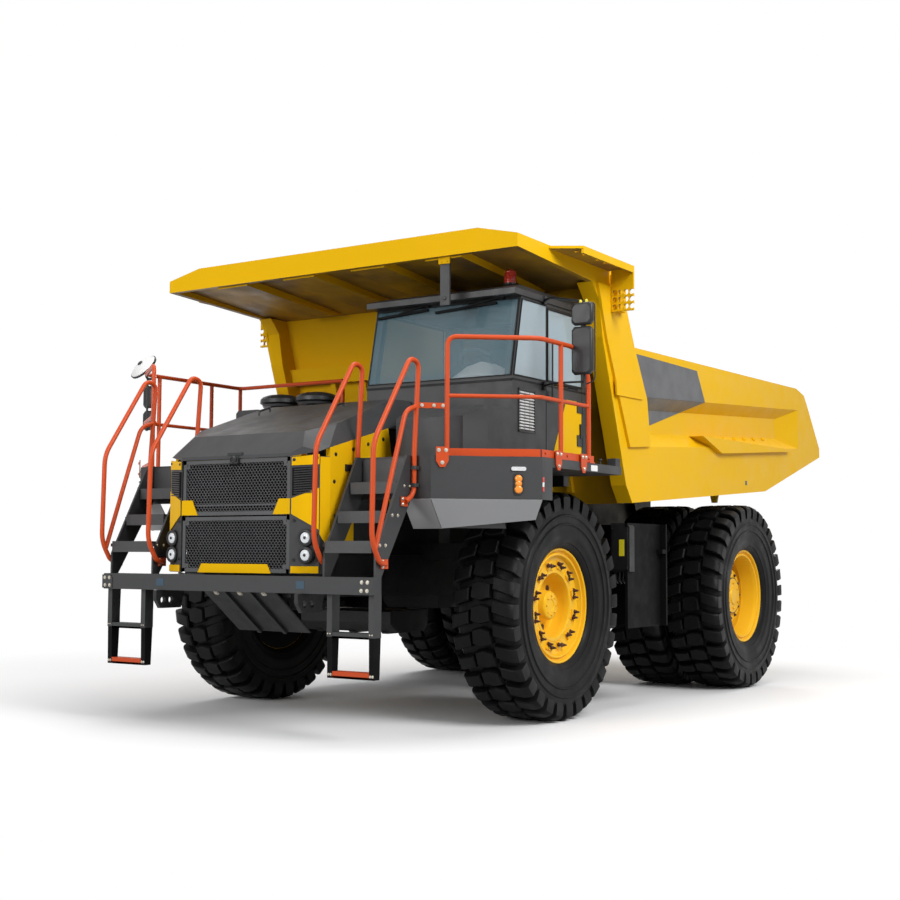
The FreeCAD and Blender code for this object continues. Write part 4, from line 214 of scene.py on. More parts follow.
def rubber(name, colour, rough=0.62, grain=60.0, dust=0.12, shine=0.35):
    """Moulded rubber with a fine grain and grey scuffs."""
    material, tree, shader = node_tree(name)
    pale = tuple(c * 1.8 + 0.003 for c in colour)
    tone = mixed(tree, patches(tree, 1.7, 4.0, 0.0, 0.5, 0.3, 0.7), colour, pale)
    feed(tree, shader, {
        "Base Color": mixed(tree, patches(tree, 9.0, 8.0, 0.0, dust, 0.5, 0.8), tone, SCUFF),
        "Roughness": patches(tree, 6.0, 6.0, rough * 0.8, rough * 1.2, 0.3, 0.7),
        "Specular IOR Level": shine, "Normal": bump(tree, noise(tree, grain, 6.0), 0.16)})
    return material


def metal(name, colour, rough=0.3):
    """Ground or cast metal with fine scratches along the piece."""
    material, tree, shader = node_tree(name)
    lines = noise(tree, 40.0, 6.0, (1.0, 1.0, 12.0))
    dark = tuple(c * 0.7 for c in colour)
    feed(tree, shader, {
        "Base Color": mixed(tree, spread(tree, lines, 0.0, 1.0, 0.3, 0.7), dark, colour),
        "Roughness": spread(tree, lines, rough * 0.7, rough * 1.4, 0.3, 0.7),
        "Metallic": 1.0, "Normal": bump(tree, lines, 0.08)})
    return material


def clear(name, colour, rough=0.03, cover=0.45, glow=0.0, haze=0.04):
    """Glass or a clear lens: a tinted sheet that lets a share of the light straight through."""
    material, tree, shader = node_tree(name)
    film = patches(tree, 1.1, 1.0, 0.0, haze, 0.35, 0.7)
    feed(tree, shader, {
        "Base Color": mixed(tree, film, colour, (0.62, 0.66, 0.66)),
        "Roughness": patches(tree, 5.0, 2.0, rough, rough * 2 + 0.01, 0.4, 0.8),
        "Alpha": cover, "IOR": 1.5, "Coat Weight": 0.25,
        "Emission Color": colour + (1.0,), "Emission Strength": glow,
        "Normal": bump(tree, noise(tree, 2.0, 2.0), 0.02)})
    return material


def mirror_glass(name):
    material, tree, shader = node_tree(name)
    film = patches(tree, 8.0, 6.0, 0.0, 0.2, 0.5, 0.8)
    feed(tree, shader, {
        "Base Color": mixed(tree, film, (0.86, 0.88, 0.9), (0.6, 0.6, 0.58)),
        "Roughness": patches(tree, 12.0, 4.0, 0.03, 0.12),
        "Metallic": 1.0, "Normal": bump(tree, noise(tree, 3.0, 2.0), 0.02)})
    return material


GOLD = (1.0, 0.72, 0.12)
BODY = {"colour": (0.81, 0.462, 0.005), "dust": 0.02, "coat": 0.0, "tint": GOLD}
# Brown of the painted shade on what looks down, under the canopy and on the front wall.
UNDERSIDE_PAINTED_SHADE = (0.15, 0.095, 0.045)
YELLOW = paint("body_yellow_paint", rough=0.38, shine=0.10, **BODY)
# Bed floor: yellow paint with a painted black shade below 2.30 m on faces that don't look up.
FLOOR_PAINT = paint("bed_floor_paint_with_painted_shade", rough=0.38, shine=0.10, painted_shade_height=2.30, **BODY)
# Canopy: yellow paint with a painted brown shade on what looks down.
CANOPY = paint("canopy_yellow_paint_with_painted_shade", rough=0.40, shine=0.12, under=UNDERSIDE_PAINTED_SHADE, **BODY)
# Front wall: yellow paint with a painted brown shade on what looks down and a painted shade growing towards
# its left side.
WALL = paint("front_wall_yellow_paint_with_painted_shade", rough=0.40, shine=0.12, under=UNDERSIDE_PAINTED_SHADE, edge=(0.30, 0.160, 0.008), **BODY)
WHEEL = paint("wheel_yellow_paint", (0.90, 0.50, 0.018), 0.34, 0.03, 0.0, shine=0.5, tint=GOLD)
CHARCOAL = paint("charcoal_paint", (0.0285, 0.0293, 0.0308), 0.46, 0.02, 0.03, shine=0.40)
# Pale grey of the deck's lower facets: partly their own lighter grey paint, partly a painted reflection of the
# floor below them.
GREY = paint("grey_facet_paint_and_painted_reflection", (0.27, 0.274, 0.28), 0.40, 0.04, 0.1)
PANEL = paint("bed_panel_grey_paint", (0.082, 0.084, 0.088), 0.42, 0.04, 0.05)
BLACK = paint("frame_black_paint", (0.008, 0.0082, 0.009), 0.48, 0.08, 0.05, shine=0.35)
RED = paint("rail_red_paint", (0.56, 0.070, 0.014), 0.36, 0.04, 0.05, shine=0.2)
STEP = paint("step_grey_paint", (0.034, 0.035, 0.037), 0.50, 0.08, 0.05)
TYRE = rubber("tyre_rubber", (0.0036, 0.0036, 0.0040), 0.46, 45.0, 0.04, 0.12)
FLAP = rubber("flap_rubber_sheet", (0.0036, 0.0036, 0.0040), 0.6, 25.0, 0.03, 0.06)
PLASTIC = rubber("black_plastic_grain", (0.012, 0.0125, 0.0135), 0.42, 180.0, 0.06)
INSIDE = rubber("cab_trim", (0.085, 0.095, 0.105), 0.7, 140.0, 0.1)
SEAT = rubber("seat_cloth", (0.16, 0.185, 0.21), 0.85, 260.0, 0.1, 0.2)
ENGINE = paint("engine_cast_grey", (0.045, 0.046, 0.048), 0.6, 0.15, 0.0, 60.0)
STEEL = metal("ground_steel", (0.55, 0.56, 0.57), 0.22)
BOLT = metal("zinc_bolt", (0.62, 0.58, 0.50), 0.32)
NUT = paint("nut_brown_paint", (0.055, 0.014, 0.008), 0.5, 0.06, 0.1)
CHROME = metal("lamp_reflector", (0.92, 0.93, 0.95), 0.10)
GLASS = clear("cab_glass", (0.085, 0.23, 0.30), cover=0.25, haze=0.25)
THIN_GLASS = clear("inner_glass", (0.12, 0.24, 0.30), cover=0.06, haze=0.2)
SIDE_GLASS = clear("cab_side_glass", (0.46, 0.60, 0.67), cover=0.5, haze=0.3)
SEAL = rubber("window_seal", (0.004, 0.004, 0.0045), 0.5, 120.0, 0.03, 0.2)
LENS = clear("lamp_lens", (0.86, 0.90, 0.93), 0.02, 0.5, 0.08)
AMBER = clear("amber_lens", (0.95, 0.30, 0.01), 0.08, 0.92)
RED_LENS = clear("red_lens", (0.62, 0.035, 0.015), 0.08, 0.92)
MIRROR = mirror_glass("mirror_glass")
BLUE = paint("blue_plate", (0.006, 0.040, 0.075), 0.4, 0.02)
GRILLE = rubber("grille_wire_paint", (0.060, 0.061, 0.063), 0.4, 120.0, 0.04)
PLATE = paint("plate_yellow", (0.80, 0.68, 0.02), 0.4, 0.05)
PALE = paint("pale_reflector", (0.80, 0.80, 0.79), 0.35, 0.06)

SLOT_MATERIALS = {
    "body_yellow": YELLOW, "wheel_yellow": WHEEL, "charcoal": CHARCOAL, "frame_black": BLACK,
    "rail_red": RED, "step_metal": STEP, "tyre": TYRE, "glass": GLASS, "interior": INSIDE,
    "black_plastic": PLASTIC, "engine_grey": ENGINE, "flap_rubber": FLAP, "piston_steel": STEEL,
    "lamp_housing": CHARCOAL,
}

# --------------------------------------------------------------------- meshes

PLANE_AXES = {"xy": (0, 1, 2), "xz": (0, 2, 1), "yz": (1, 2, 0)}
BEND_STEPS = 6
SHARP_ANGLE = math.radians(38)
ROUND_ANGLE = math.radians(28)
FLAT_ANGLE = math.radians(1.5)


class Build:
    """Collects the faces of one piece, in the truck's frame."""

    def __init__(self):
        self.verts, self.faces, self.slots, self.soft = [], [], [], []

    def add(self, verts, faces, slot=0, soft=False):
        first = len(self.verts)
        self.verts += [tuple(v) for v in verts]
        self.faces += [tuple(first + i for i in face) for face in faces]
        self.slots += [slot] * len(faces)
        self.soft += [soft] * len(faces)

    def rings(self, rings, slot=0, soft=False, caps=True):
        """Skin over rings of points with equal counts."""
        count = len(rings[0])
        faces = []
        for a in range(0, (len(rings) - 1) * count, count):
            for j in range(count):
                k = (j + 1) % count
                faces.append((a + j, a + k, a + count + k, a + count + j))
        self.add([v for ring in rings for v in ring], faces, slot, soft)
        if caps:
            for ring in (rings[0][::-1], rings[-1]):
                self.add(ring, [tuple(range(count))], slot)

    def sheet(self, points, out, near, far, slot=0):
        """Flat outline drawn out along a direction, from one distance to another."""
        self.rings([[p + out * distance for p in points] for distance in (near, far)], slot)

    def prism(self, plane, corners, start, end, slot=0):
        """Outline in a main plane, drawn out between two distances."""
        a, b, c = PLANE_AXES[plane]

        def ring(distance):
            points = []
            for u, v in corners:
                point = [0.0, 0.0, 0.0]
                point[a], point[b], point[c] = u, v, distance
                points.append(at(*point))
            return points
        self.rings([ring(start), ring(end)], slot)

    def box(self, low, high, slot=0):
        """Box by two corners, X from the front axle."""
        (x0, y0, z0), (x1, y1, z1) = low, high
        self.prism("xy", [(x0, y0), (x1, y0), (x1, y1), (x0, y1)], z0, z1, slot)

    def lathe(self, profile, centre, axis, count=48, slot=0):
        """Profile of (distance along the axis, radius) turned round the axis."""
        turn = Vector(axis).to_track_quat("Z", "Y").to_matrix()
        self.rings([[Vector(centre) + turn @ Vector((radius * u, radius * v, distance))
                     for u, v in circle(count)] for distance, radius in profile], slot, soft=True)

    def hexagon(self, centre, axis, radius, height, slot=0):
        """Hexagon head on a washer."""
        foot = height * 0.2
        self.lathe([(0, radius * 1.45), (foot, radius * 1.45)], centre, axis, 12, slot)
        self.lathe([(foot, radius), (height * 0.85, radius), (height, radius * 0.8)], centre, axis, 6, slot)

    def bolts(self, spots, axis, radius, height, slot=0):
        for spot in spots:
            self.hexagon(spot, axis, radius, height, slot)

    def tube(self, points, radius, bend=0.0, sides=12, slot=0):
        """Round tube along a row of points, its corners bent to a radius."""
        path = [Vector(points[0])]
        for before, corner, after in zip(points, points[1:], points[2:]):
            corner = Vector(corner)
            to, off = Vector(before) - corner, Vector(after) - corner
            reach = min(bend, 0.48 * to.length, 0.48 * off.length)
            if reach <= 0:
                path.append(corner)
                continue
            a = corner + to.normalized() * reach
            b = corner + off.normalized() * reach
            for i in range(BEND_STEPS + 1):
                t = i / BEND_STEPS
                path.append(a * (1 - t) ** 2 + corner * 2 * t * (1 - t) + b * t * t)
        path.append(Vector(points[-1]))
        rings = []
        side = (path[1] - path[0]).normalized().orthogonal().normalized()
        for i, point in enumerate(path):
            ahead = (path[min(i + 1, len(path) - 1)] - path[max(i - 1, 0)]).normalized()
            side = (side - ahead * side.dot(ahead)).normalized()
            up = ahead.cross(side)
            rings.append([point + radius * (side * u + up * v) for u, v in circle(sides)])
        self.rings(rings, slot, soft=True)

    def copied(self, verts, faces):
        other = Build()
        other.verts, other.faces = verts, faces
        other.slots, other.soft = list(self.slots), list(self.soft)
        return other

    def mirrored(self):
        """The same faces on the other side of the truck."""
        return self.copied([(x, -y, z) for x, y, z in self.verts], [face[::-1] for face in self.faces])

    def moved(self, turn, offset):
        return self.copied([tuple(turn @ Vector(v) + Vector(offset)) for v in self.verts], list(self.faces))

    def join(self, other):
        self.add(other.verts, other.faces)
        count = len(other.faces)
        self.slots[-count:] = other.slots
        self.soft[-count:] = other.soft

    def both(self):
        self.join(self.mirrored())
        return self

    def mesh(self, name, materials=()):
        mesh = bpy.data.meshes.new(name)
        mesh.from_pydata(self.verts, [], self.faces)
        for material in materials:
            mesh.materials.append(material)
        return mesh

    def piece(self, name, materials, bevel=0.0, body="chassis", replaces=(), slot=None):
        """Object from the faces, riding on a body, in place of the nodes that it replaces."""
        mesh = self.mesh(name, materials)
        mesh.polygons.foreach_set("material_index", self.slots)
        mesh.polygons.foreach_set("use_smooth", self.soft)
        mesh.update()
        mesh.set_sharp_from_angle(angle=SHARP_ANGLE)
        obj = placed(name, mesh)
        if bevel:
            rounded(obj, bevel)
        if replaces:
            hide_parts(*replaces)
        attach(obj, body)
        return obj


def circle(count):
    """Points of a unit circle."""
    angles = [2 * math.pi * i / count for i in range(count)]
    return [(math.cos(angle), math.sin(angle)) for angle in angles]


def rounded(obj, width, flatten=False):
    """Small round on every sharp edge, so that it catches the light."""
    if flatten:
        merge = obj.modifiers.new("flat faces", "DECIMATE")
        merge.decimate_type = "DISSOLVE"
        merge.angle_limit = FLAT_ANGLE
    bevel = obj.modifiers.new("rounded edges", "BEVEL")
    bevel.width = width
    bevel.segments = 2
    bevel.limit_method = "ANGLE"
    bevel.angle_limit = ROUND_ANGLE
    bevel.use_clamp_overlap = True


def dress(node, material=None, bevel=0.0):
    """Material and rounded edges for a node of the frame."""
    obj = nodes[node]
    if material:
        obj.data.materials.clear()
        obj.data.materials.append(material)
    if bevel:
        rounded(obj, bevel, True)


slot_of_node = {part["node"]: part["material_slot"] for part in record["subparts"]}
for name in nodes:
    dress(name, SLOT_MATERIALS[slot_of_node[name]])

# --------------------------------------------------------------------- wheels

LUGS = 32
LUG_PITCH = 2 * math.pi / LUGS
LUG_HEIGHT = 0.062
TREAD_R = TYRE_R - LUG_HEIGHT
RIM_HALF = 0.235
NUT_RING_R = 0.392
ORIGIN = (0, 0, 0)


def tyre_profile():
    """Section of the carcass from the bead over the tread to the other bead."""
    half = TYRE_W / 2
    side = [
        (0.232, 0.548), (0.250, 0.556), (0.268, 0.585), (0.276, 0.600), (0.284, 0.603), (0.292, 0.640),
        (0.298, 0.656), (0.302, 0.664), (half - 0.024, 0.700), (half - 0.018, 0.765), (half - 0.006, 0.772),
        (half - 0.006, 0.782), (half - 0.016, 0.790), (half - 0.012, 0.845), (half - 0.001, 0.854),
        (half - 0.001, 0.864), (half - 0.013, 0.874), (half - 0.012, 0.915), (half - 0.030, TREAD_R - 0.050),
        (half - 0.070, TREAD_R - 0.014), (0.13, TREAD_R - 0.002),
    ]
    return side + [(0.0, TREAD_R)] + [(-y, r) for y, r in reversed(side)]


def wheel_point(angle, across, radius):
    """Point by its angle from the top, its distance across the truck and its radius."""
    return Vector((radius * math.sin(angle), across, radius * math.cos(angle)))


def wheel_points(count, across, radius, offset=0.0):
    """Evenly spaced points round a wheel, with their angles."""
    angles = [2 * math.pi * (i + offset) / count for i in range(count)]
    return [(angle, wheel_point(angle, across, radius)) for angle in angles]


def lug(build, angle, sign):
    """Wedge lug from near the middle of the tread, over the shoulder and down the side."""
    half = TYRE_W / 2
    width = LUG_PITCH * 0.34
    section = [
        (0.118, TREAD_R - 0.010, 1.0), (0.122, TYRE_R - 0.012, 0.92), (0.134, TYRE_R, 0.80),
        (0.262, TYRE_R - 0.006, 0.88), (half - 0.022, TYRE_R - 0.026, 0.92),
        (half - 0.002, TYRE_R - 0.050, 0.96), (half - 0.001, TYRE_R - 0.130, 1.0),
        (half - 0.012, TYRE_R - 0.176, 0.9), (half - 0.06, TREAD_R - 0.05, 1.0),
    ]
    rings = []
    for hand in (-1, -0.86, 0.86, 1):
        ring = []
        for across, radius, share in section:
            lean = (across - 0.22) * 0.24
            drop = 0.010 if abs(hand) == 1 and radius > TYRE_R - 0.06 else 0.0
            ring.append(wheel_point(angle + lean + hand * width * share, sign * across, radius - drop))
        rings.append(ring if sign > 0 else ring[::-1])
    build.rings(rings)


def centre_block(build, angle):
    """Six-sided block on the middle of the tread."""
    width = LUG_PITCH * 0.46
    outline = [(-1.0, 0.0), (-0.72, -0.098), (0.66, -0.106), (0.94, 0.0), (0.66, 0.106), (-0.72, 0.098)]
    build.rings([[wheel_point(angle + share * s * width, share * y, radius) for s, y in outline]
                 for radius, share in ((TREAD_R - 0.008, 1.0), (TYRE_R - 0.012, 0.95), (TYRE_R, 0.86))])


def tyre_build():
    build = Build()
    build.rings([[point for _, point in wheel_points(96, across, radius)]
                 for across, radius in tyre_profile()], soft=True, caps=False)
    for i in range(LUGS):
        angle = LUG_PITCH * i
        lug(build, angle, 1)
        lug(build, angle + LUG_PITCH / 2, -1)
        centre_block(build, angle + LUG_PITCH / 4)
    return build


def nut_ring(build, face, count, size=0.017):
    """Pairs of nuts on clamp pads round the rim's disc."""
    for angle, centre in wheel_points(count, face, NUT_RING_R, 0.5):
        build.rings([[wheel_point(angle + s * 0.125, face + y, NUT_RING_R + r)
                      for s, r in ((-1, -0.034), (1, -0.034), (1, 0.040), (-1, 0.040))]
                     for y in (0.016, -0.004)])
        for shift, rise in ((-0.078, -0.010), (0.078, 0.012)):
            spot = wheel_point(angle + shift, face + 0.012, NUT_RING_R + rise)
            build.hexagon(spot, LEFT, size, 0.030, 1)
            build.lathe([(0.0, 0.010), (0.052, 0.010), (0.056, 0.006), (0.056, 0.001)], spot, LEFT, 8, 1)
        build.lathe([(0.0, 0.012), (0.030, 0.012), (0.034, 0.008), (0.034, 0.001)], centre, LEFT, 8, 1)


def rim_edge(outer):
    """Rolled edge, lock ring and gutter of a rim, from the outside inwards."""
    return [
        (outer - 0.06, 0.546), (outer - 0.010, 0.550), (outer - 0.002, 0.546), (outer, 0.538),
        (outer - 0.006, 0.528),
        (outer - 0.022, 0.522), (outer - 0.036, 0.520), (outer - 0.040, 0.508), (outer - 0.026, 0.502),
        (outer - 0.020, 0.492), (outer - 0.024, 0.480), (outer - 0.050, 0.470),
    ]


def front_rim():
    build = Build()
    edge = RIM_HALF
    build.lathe([
        (-edge, 0.5), (-edge, 0.548), (-edge + 0.03, 0.548), (-edge + 0.05, 0.50), (0.10, 0.50),
        (edge - 0.08, 0.53),
        *rim_edge(edge),
        (0.168, 0.462), (0.164, 0.450), (0.164, 0.345), (0.170, 0.338), (0.170, 0.312), (0.158, 0.302),
        (0.100, 0.296), (0.020, 0.286), (0.006, 0.274), (0.004, 0.200), (0.012, 0.162), (0.030, 0.150),
        (0.118, 0.138), (0.134, 0.128), (0.140, 0.112), (0.140, 0.060), (0.132, 0.050), (0.132, 0.001),
    ], ORIGIN, LEFT, 72)
    build.lathe([(-0.232, 0.21), (-0.2365, 0.22), (-0.2365, 0.546), (-0.228, 0.547)], ORIGIN, LEFT, 48, 2)
    nut_ring(build, 0.164, 12)
    for _, spot in wheel_points(6, 0.004, 0.222, 0.25):
        build.lathe([(0.0, 0.034), (0.005, 0.032), (0.005, 0.020), (0.002, 0.001)], spot, LEFT, 14, 1)
    build.bolts([spot for _, spot in wheel_points(8, 0.140, 0.092)], LEFT, 0.009, 0.012)
    return build


def rear_rims():
    """Both rims of a twin pair, drawn from the plane between the tyres."""
    build = Build()
    outer = TWIN_STEP / 2 + RIM_HALF
    inner = -TWIN_STEP / 2
    dish = outer - 0.330
    build.lathe([
        (inner - 0.235, 0.50), (inner - 0.235, 0.548), (inner - 0.20, 0.548), (inner - 0.18, 0.505),
        (inner + 0.18, 0.505), (inner + 0.20, 0.548), (inner + 0.235, 0.548), (inner + 0.235, 0.500),
        (outer - 0.47, 0.500), (outer - 0.47, 0.548), (outer - 0.43, 0.548), (outer - 0.42, 0.505),
        (outer - 0.10, 0.505), (outer - 0.08, 0.53),
        *rim_edge(outer),
        (outer - 0.070, 0.462), (outer - 0.200, 0.452), (outer - 0.215, 0.446), (outer - 0.230, 0.452),
        (dish + 0.020, 0.446), (dish, 0.436), (dish, 0.350), (dish + 0.010, 0.340),
        (dish + 0.060, 0.334), (dish + 0.130, 0.326), (dish + 0.146, 0.312), (dish + 0.150, 0.230),
        (dish + 0.168, 0.220), (dish + 0.185, 0.204), (dish + 0.190, 0.110), (dish + 0.205, 0.100),
        (dish + 0.208, 0.060), (dish + 0.208, 0.001),
    ], ORIGIN, LEFT, 72)
    nut_ring(build, dish, 16, 0.018)
    build.bolts([spot for _, spot in wheel_points(12, dish + 0.149, 0.272)], LEFT, 0.015, 0.022, 1)
    build.bolts([spot for _, spot in wheel_points(6, dish + 0.190, 0.150)], LEFT, 0.011, 0.016)
    build.lathe([(inner - 0.25, 0.30), (inner - 0.10, 0.30), (inner - 0.09, 0.44), (inner - 0.05, 0.44)],
                ORIGIN, LEFT, 48, 1)
    return build


def wheels():
    tyre, rim, twins = tyre_build(), front_rim(), rear_rims()
    for side, sign in HANDS:
        turn = Matrix.Rotation(0.0 if sign > 0 else math.pi, 3, "Z")
        pair = Build()
        for step in (-0.5, 0.5):
            spin = Matrix.Rotation(0.05 * step, 3, "Y")
            pair.join(tyre.moved(turn @ spin, (REAR_AXLE_X, sign * (TWIN_Y + step * TWIN_STEP), TYRE_R)))
        hub = (AXLE.x, sign * FRONT_TYRE_Y, TYRE_R)
        rear_hub = (REAR_AXLE_X, sign * TWIN_Y, TYRE_R)
        for build, node, kind, materials, body in (
                (tyre.moved(turn, hub), "tyre_front_", "_tread", [TYRE], "wheel_front_"),
                (rim.moved(turn, hub), "rim_front_", "_disc", [WHEEL, NUT, FLAP], "wheel_front_"),
                (pair, "tyres_rear_", "_tread", [TYRE], "wheels_rear_"),
                (twins.moved(turn, rear_hub), "rims_rear_", "_disc", [WHEEL, NUT], "wheels_rear_")):
            build.piece(node + side + kind, materials, body=body + side, replaces=[node + side])


wheels()

# ---------------------------------------------------------- rails and ways up

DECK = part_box("deck_left")[1][2]
BUMPER_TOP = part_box("front_bumper")[1][2]
TUBE = 0.022
RAIL_OUTER, RAIL_INNER = 1.584, 0.976
STAIR_Y = (1.034, 1.526)


def foot_plate(build, point, axis):
    """Pointed plate with three bolts that holds a post to the deck's edge."""
    out = Vector(axis).normalized()
    across = Vector((-out.y, out.x, 0))

    def spot(u, z):
        return point + across * u + Vector((0, 0, z))
    corners = ((-0.055, 0.075), (-0.055, -0.045), (-0.022, -0.100),
               (0.022, -0.100), (0.055, -0.045), (0.055, 0.075))
    build.sheet([spot(u, z) for u, z in corners], out, 0.001, 0.011)
    build.bolts([spot(u, z) + out * 0.011 for u, z in ((-0.032, 0.045), (0.032, 0.045), (0, -0.062))],
                axis, 0.012, 0.012, 1)


def bracket(build, x, y):
    """Foot with two bolts under a rail post on the deck."""
    build.box((x - 0.05, y - 0.04, DECK), (x + 0.05, y + 0.04, DECK + 0.012))
    build.bolts([at(x + step, y, DECK + 0.012) for step in (-0.034, 0.034)], UP, 0.009, 0.012)


def stair_rails():
    """Two bent rails beside one flight, the outer one with its brace."""
    build = Build()
    for y, inward in ((RAIL_OUTER, -1), (RAIL_INNER, 1)):
        loop = [(2.03, 2.02), (1.912, 2.09), (1.908, 2.46), (1.85, 3.235), (1.98, 3.262), (2.500, 2.50),
                (2.515, 1.68), (2.40, 1.50), (2.31, 1.49)]
        build.tube([at(x, y, z) for x, z in loop], TUBE, 0.10)
        face = y + inward * 0.010
        for x, z in (loop[0], loop[-1]):
            build.box((x - 0.045, y + inward * 0.022, z - 0.04), (x + 0.05, face, z + 0.04))
            spots = [at(x + 0.034, face, z + dz) for dz in (-0.022, 0.022)]
            build.bolts(spots, (0, -inward, 0), 0.011, 0.012, 1)
    brace = ((1.85, 2.86), (2.04, 2.80), (2.27, 2.16), (2.46, 1.62))
    build.tube([at(x, RAIL_OUTER, z) for x, z in brace], TUBE * 0.95, 0.08)
    return build


def deck_rail(left):
    """Rails round one deck, drawn for the left side."""
    build = Build()
    side, front_x, front_y, corner_x = 2.415, 1.690, 1.777, 1.180
    top, mid = DECK + 1.05, DECK + 0.53
    front, corner = (front_x, front_y), (corner_x, side)
    if left:
        last_x, inner_row = 0.265, []
        ending = [at(0.54, side, top), at(last_x, side, DECK + 0.82), at(last_x, side, DECK)]
        posts = [(0.80, side)]
        feet = posts + [front, (last_x, side)]
        toe_x, plates = 0.20, (0.443, 0.919)
    else:
        last_x, inner_row = -0.32, [at(-0.32, 0.92, mid)]
        ending = [at(last_x, side, top), at(last_x, 0.92, top)]
        posts = [(0.974, side), (0.159, side), (last_x, side), (last_x, 0.92)]
        feet = posts + [front]
        toe_x, plates = last_x, (-0.20, 0.443, 0.919)
    build.tube([at(*front, DECK), at(*front, top), at(*corner, top)] + ending, TUBE, 0.09)
    build.tube([at(*front, mid), at(*corner, mid), at(last_x, side, mid)] + inner_row, TUBE * 0.85, 0.05)
    for x, y in posts:
        build.tube([at(x, y, DECK), at(x, y, top)], TUBE)
    for x, y in feet:
        bracket(build, x, y)
    toe = [(toe_x, side), corner, front]
    for start, end in zip(toe, toe[1:]):
        a, b = at(*start, DECK + 0.004), at(*end, DECK + 0.004)
        out = Vector((a.y - b.y, b.x - a.x, 0)).normalized()
        up = Vector((0, 0, 0.066))
        build.sheet([a, b, b + up, a + up], out, 0.012, 0.0216)
    build.bolts([at(x, side + 0.022, DECK + 0.04) for x in (0.30, 0.72, 1.12)], LEFT, 0.010, 0.01)
    for x in plates:
        foot_plate(build, at(x, 2.451, DECK), LEFT)
    foot_plate(build, at(1.816, 1.812, DECK), (0.72, 0.69, 0))
    start, end = at(1.868, RAIL_OUTER, 2.86), at(*front, 2.86)
    rise, deep = Vector((0, 0, 0.024)), Vector((0.010, 0.010, 0))
    strip = (start, end, end + deep, start + deep)
    build.rings([[p + lift for p in strip] for lift in (-rise, rise)])
    build.bolts([start.lerp(end, share) + Vector((0.012, 0.012, 0)) for share in (0.15, 0.55, 0.85)],
                (0.77, 0.64, 0), 0.011, 0.012, 1)
    return build


def rails():
    for hand, sign in HANDS:
        build = deck_rail(sign > 0)
        build.join(stair_rails())
        build = build if sign > 0 else build.mirrored()
        build.piece("handrails_%s_tubes" % hand, [RED, BOLT], replaces=["handrails_" + hand])
    clips = Build()
    for y in (RAIL_OUTER, RAIL_INNER):
        for z in (2.30, 2.15):
            clips.box((1.882, y - 0.034, z), (1.936, y + 0.034, z + 0.03))
    clips.both().piece("rail_clips", [STEP], 0.003)


def serrated(build, low, high, slot=0, teeth=9):
    """Grip tread with an open, toothed top between two bars."""
    (x0, y0, z0), (x1, y1, z1) = low, high
    bar = (x1 - x0) * 0.16
    build.box(low, (x0 + bar, y1, z1), slot)
    build.box((x1 - bar, y0, z0), high, slot)
    build.box(low, (x1, y1, z0 + (z1 - z0) * 0.35), slot)
    step = (y1 - y0) / teeth
    for i in range(teeth):
        a, b = y0 + (i + 0.18) * step, y0 + (i + 0.82) * step
        build.prism("yz", [(a, z0), (b, z0), (b, z1 - 0.004), ((a + b) / 2, z1), (a, z1 - 0.004)],
                    x0 + bar, x1 - bar, slot)


def ladders():
    build = Build()
    low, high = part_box("boarding_ladders")
    inner, outer = 1.070, high[1]
    front = high[0] - AXLE.x
    wide = 0.052
    for y0 in (inner, outer - wide):
        build.prism("xz", [(front, high[2]), (front - 0.11, high[2]), (front - 0.10, 0.90),
                           (front - 0.085, low[2]), (front - 0.010, low[2]), (front - 0.004, 0.90)],
                    y0, y0 + wide)
        build.box((front - 0.103, y0 - 0.002, 0.88), (front + 0.002, y0 + wide + 0.002, high[2]), 2)
        for z, back in ((0.905, 0.0), (low[2] + 0.03, 0.009)):
            build.bolts([at(front - back, y0 + step, z) for step in (0.014, 0.038)], AHEAD, 0.008, 0.008, 3)
    serrated(build, (front - 0.108, inner + wide, 0.868), (front - 0.002, outer - wide, 0.918), 2)
    serrated(build, (front - 0.100, inner + wide, low[2]), (front - 0.010, outer - wide, low[2] + 0.058), 1)
    build.both().piece("boarding_ladder_steps", [FLAP, RED, CHARCOAL, BOLT], 0.003,
                       replaces=["boarding_ladders"])


def stair_treads():
    build = Build()
    for i in range(3):
        x, z = 1.888 + 0.175 * i, 2.14 - 0.255 * i
        serrated(build, (x + 0.004, STAIR_Y[0], z + 0.030), (x + 0.183, STAIR_Y[1], z + 0.052), teeth=14)
        build.box((x + 0.184, STAIR_Y[0], z - 0.05), (x + 0.200, STAIR_Y[1], z + 0.052))
        for y, side in ((1.000, -1), (1.560, 1)):
            build.bolts([at(x + dx, y, z + 0.015) for dx in (0.05, 0.13)], (0, side, 0), 0.011, 0.010, 1)
    build.box((1.890, STAIR_Y[0], DECK - 0.27), (1.906, STAIR_Y[1], DECK - 0.02))
    build.both().piece("stair_grips", [STEP, BOLT], 0.002)


rails()
ladders()
stair_treads()

# ------------------------------------------------------------------ front end

NOSE_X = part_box("grille")[1][0] - AXLE.x
NOSE_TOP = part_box("grille")[1][2]
NOSE_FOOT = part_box("grille")[0][2]


def mesh_field(build, half, z0, z1, x):
    """Expanded metal: zigzag strands that touch their neighbours."""
    cell, rise, wire = 0.036, 0.022, 0.0036
    columns = int(2 * half / cell) * 2
    rows = int((z1 - z0) / rise)
    step = 2 * half / columns
    height = (z1 - z0) / rows
    for row in range(rows):
        rings = []
        for i in range(columns + 1):
            y = i * step - half
            high = (i + row) % 2
            z = z0 + row * height + (height - wire if high else wire)
            face = x + (0.004 if high else -0.004)
            rings.append([at(face - 0.006, y, z - wire), at(face, y, z - wire),
                          at(face, y, z + wire), at(face - 0.006, y, z + wire)])
        build.rings(rings)


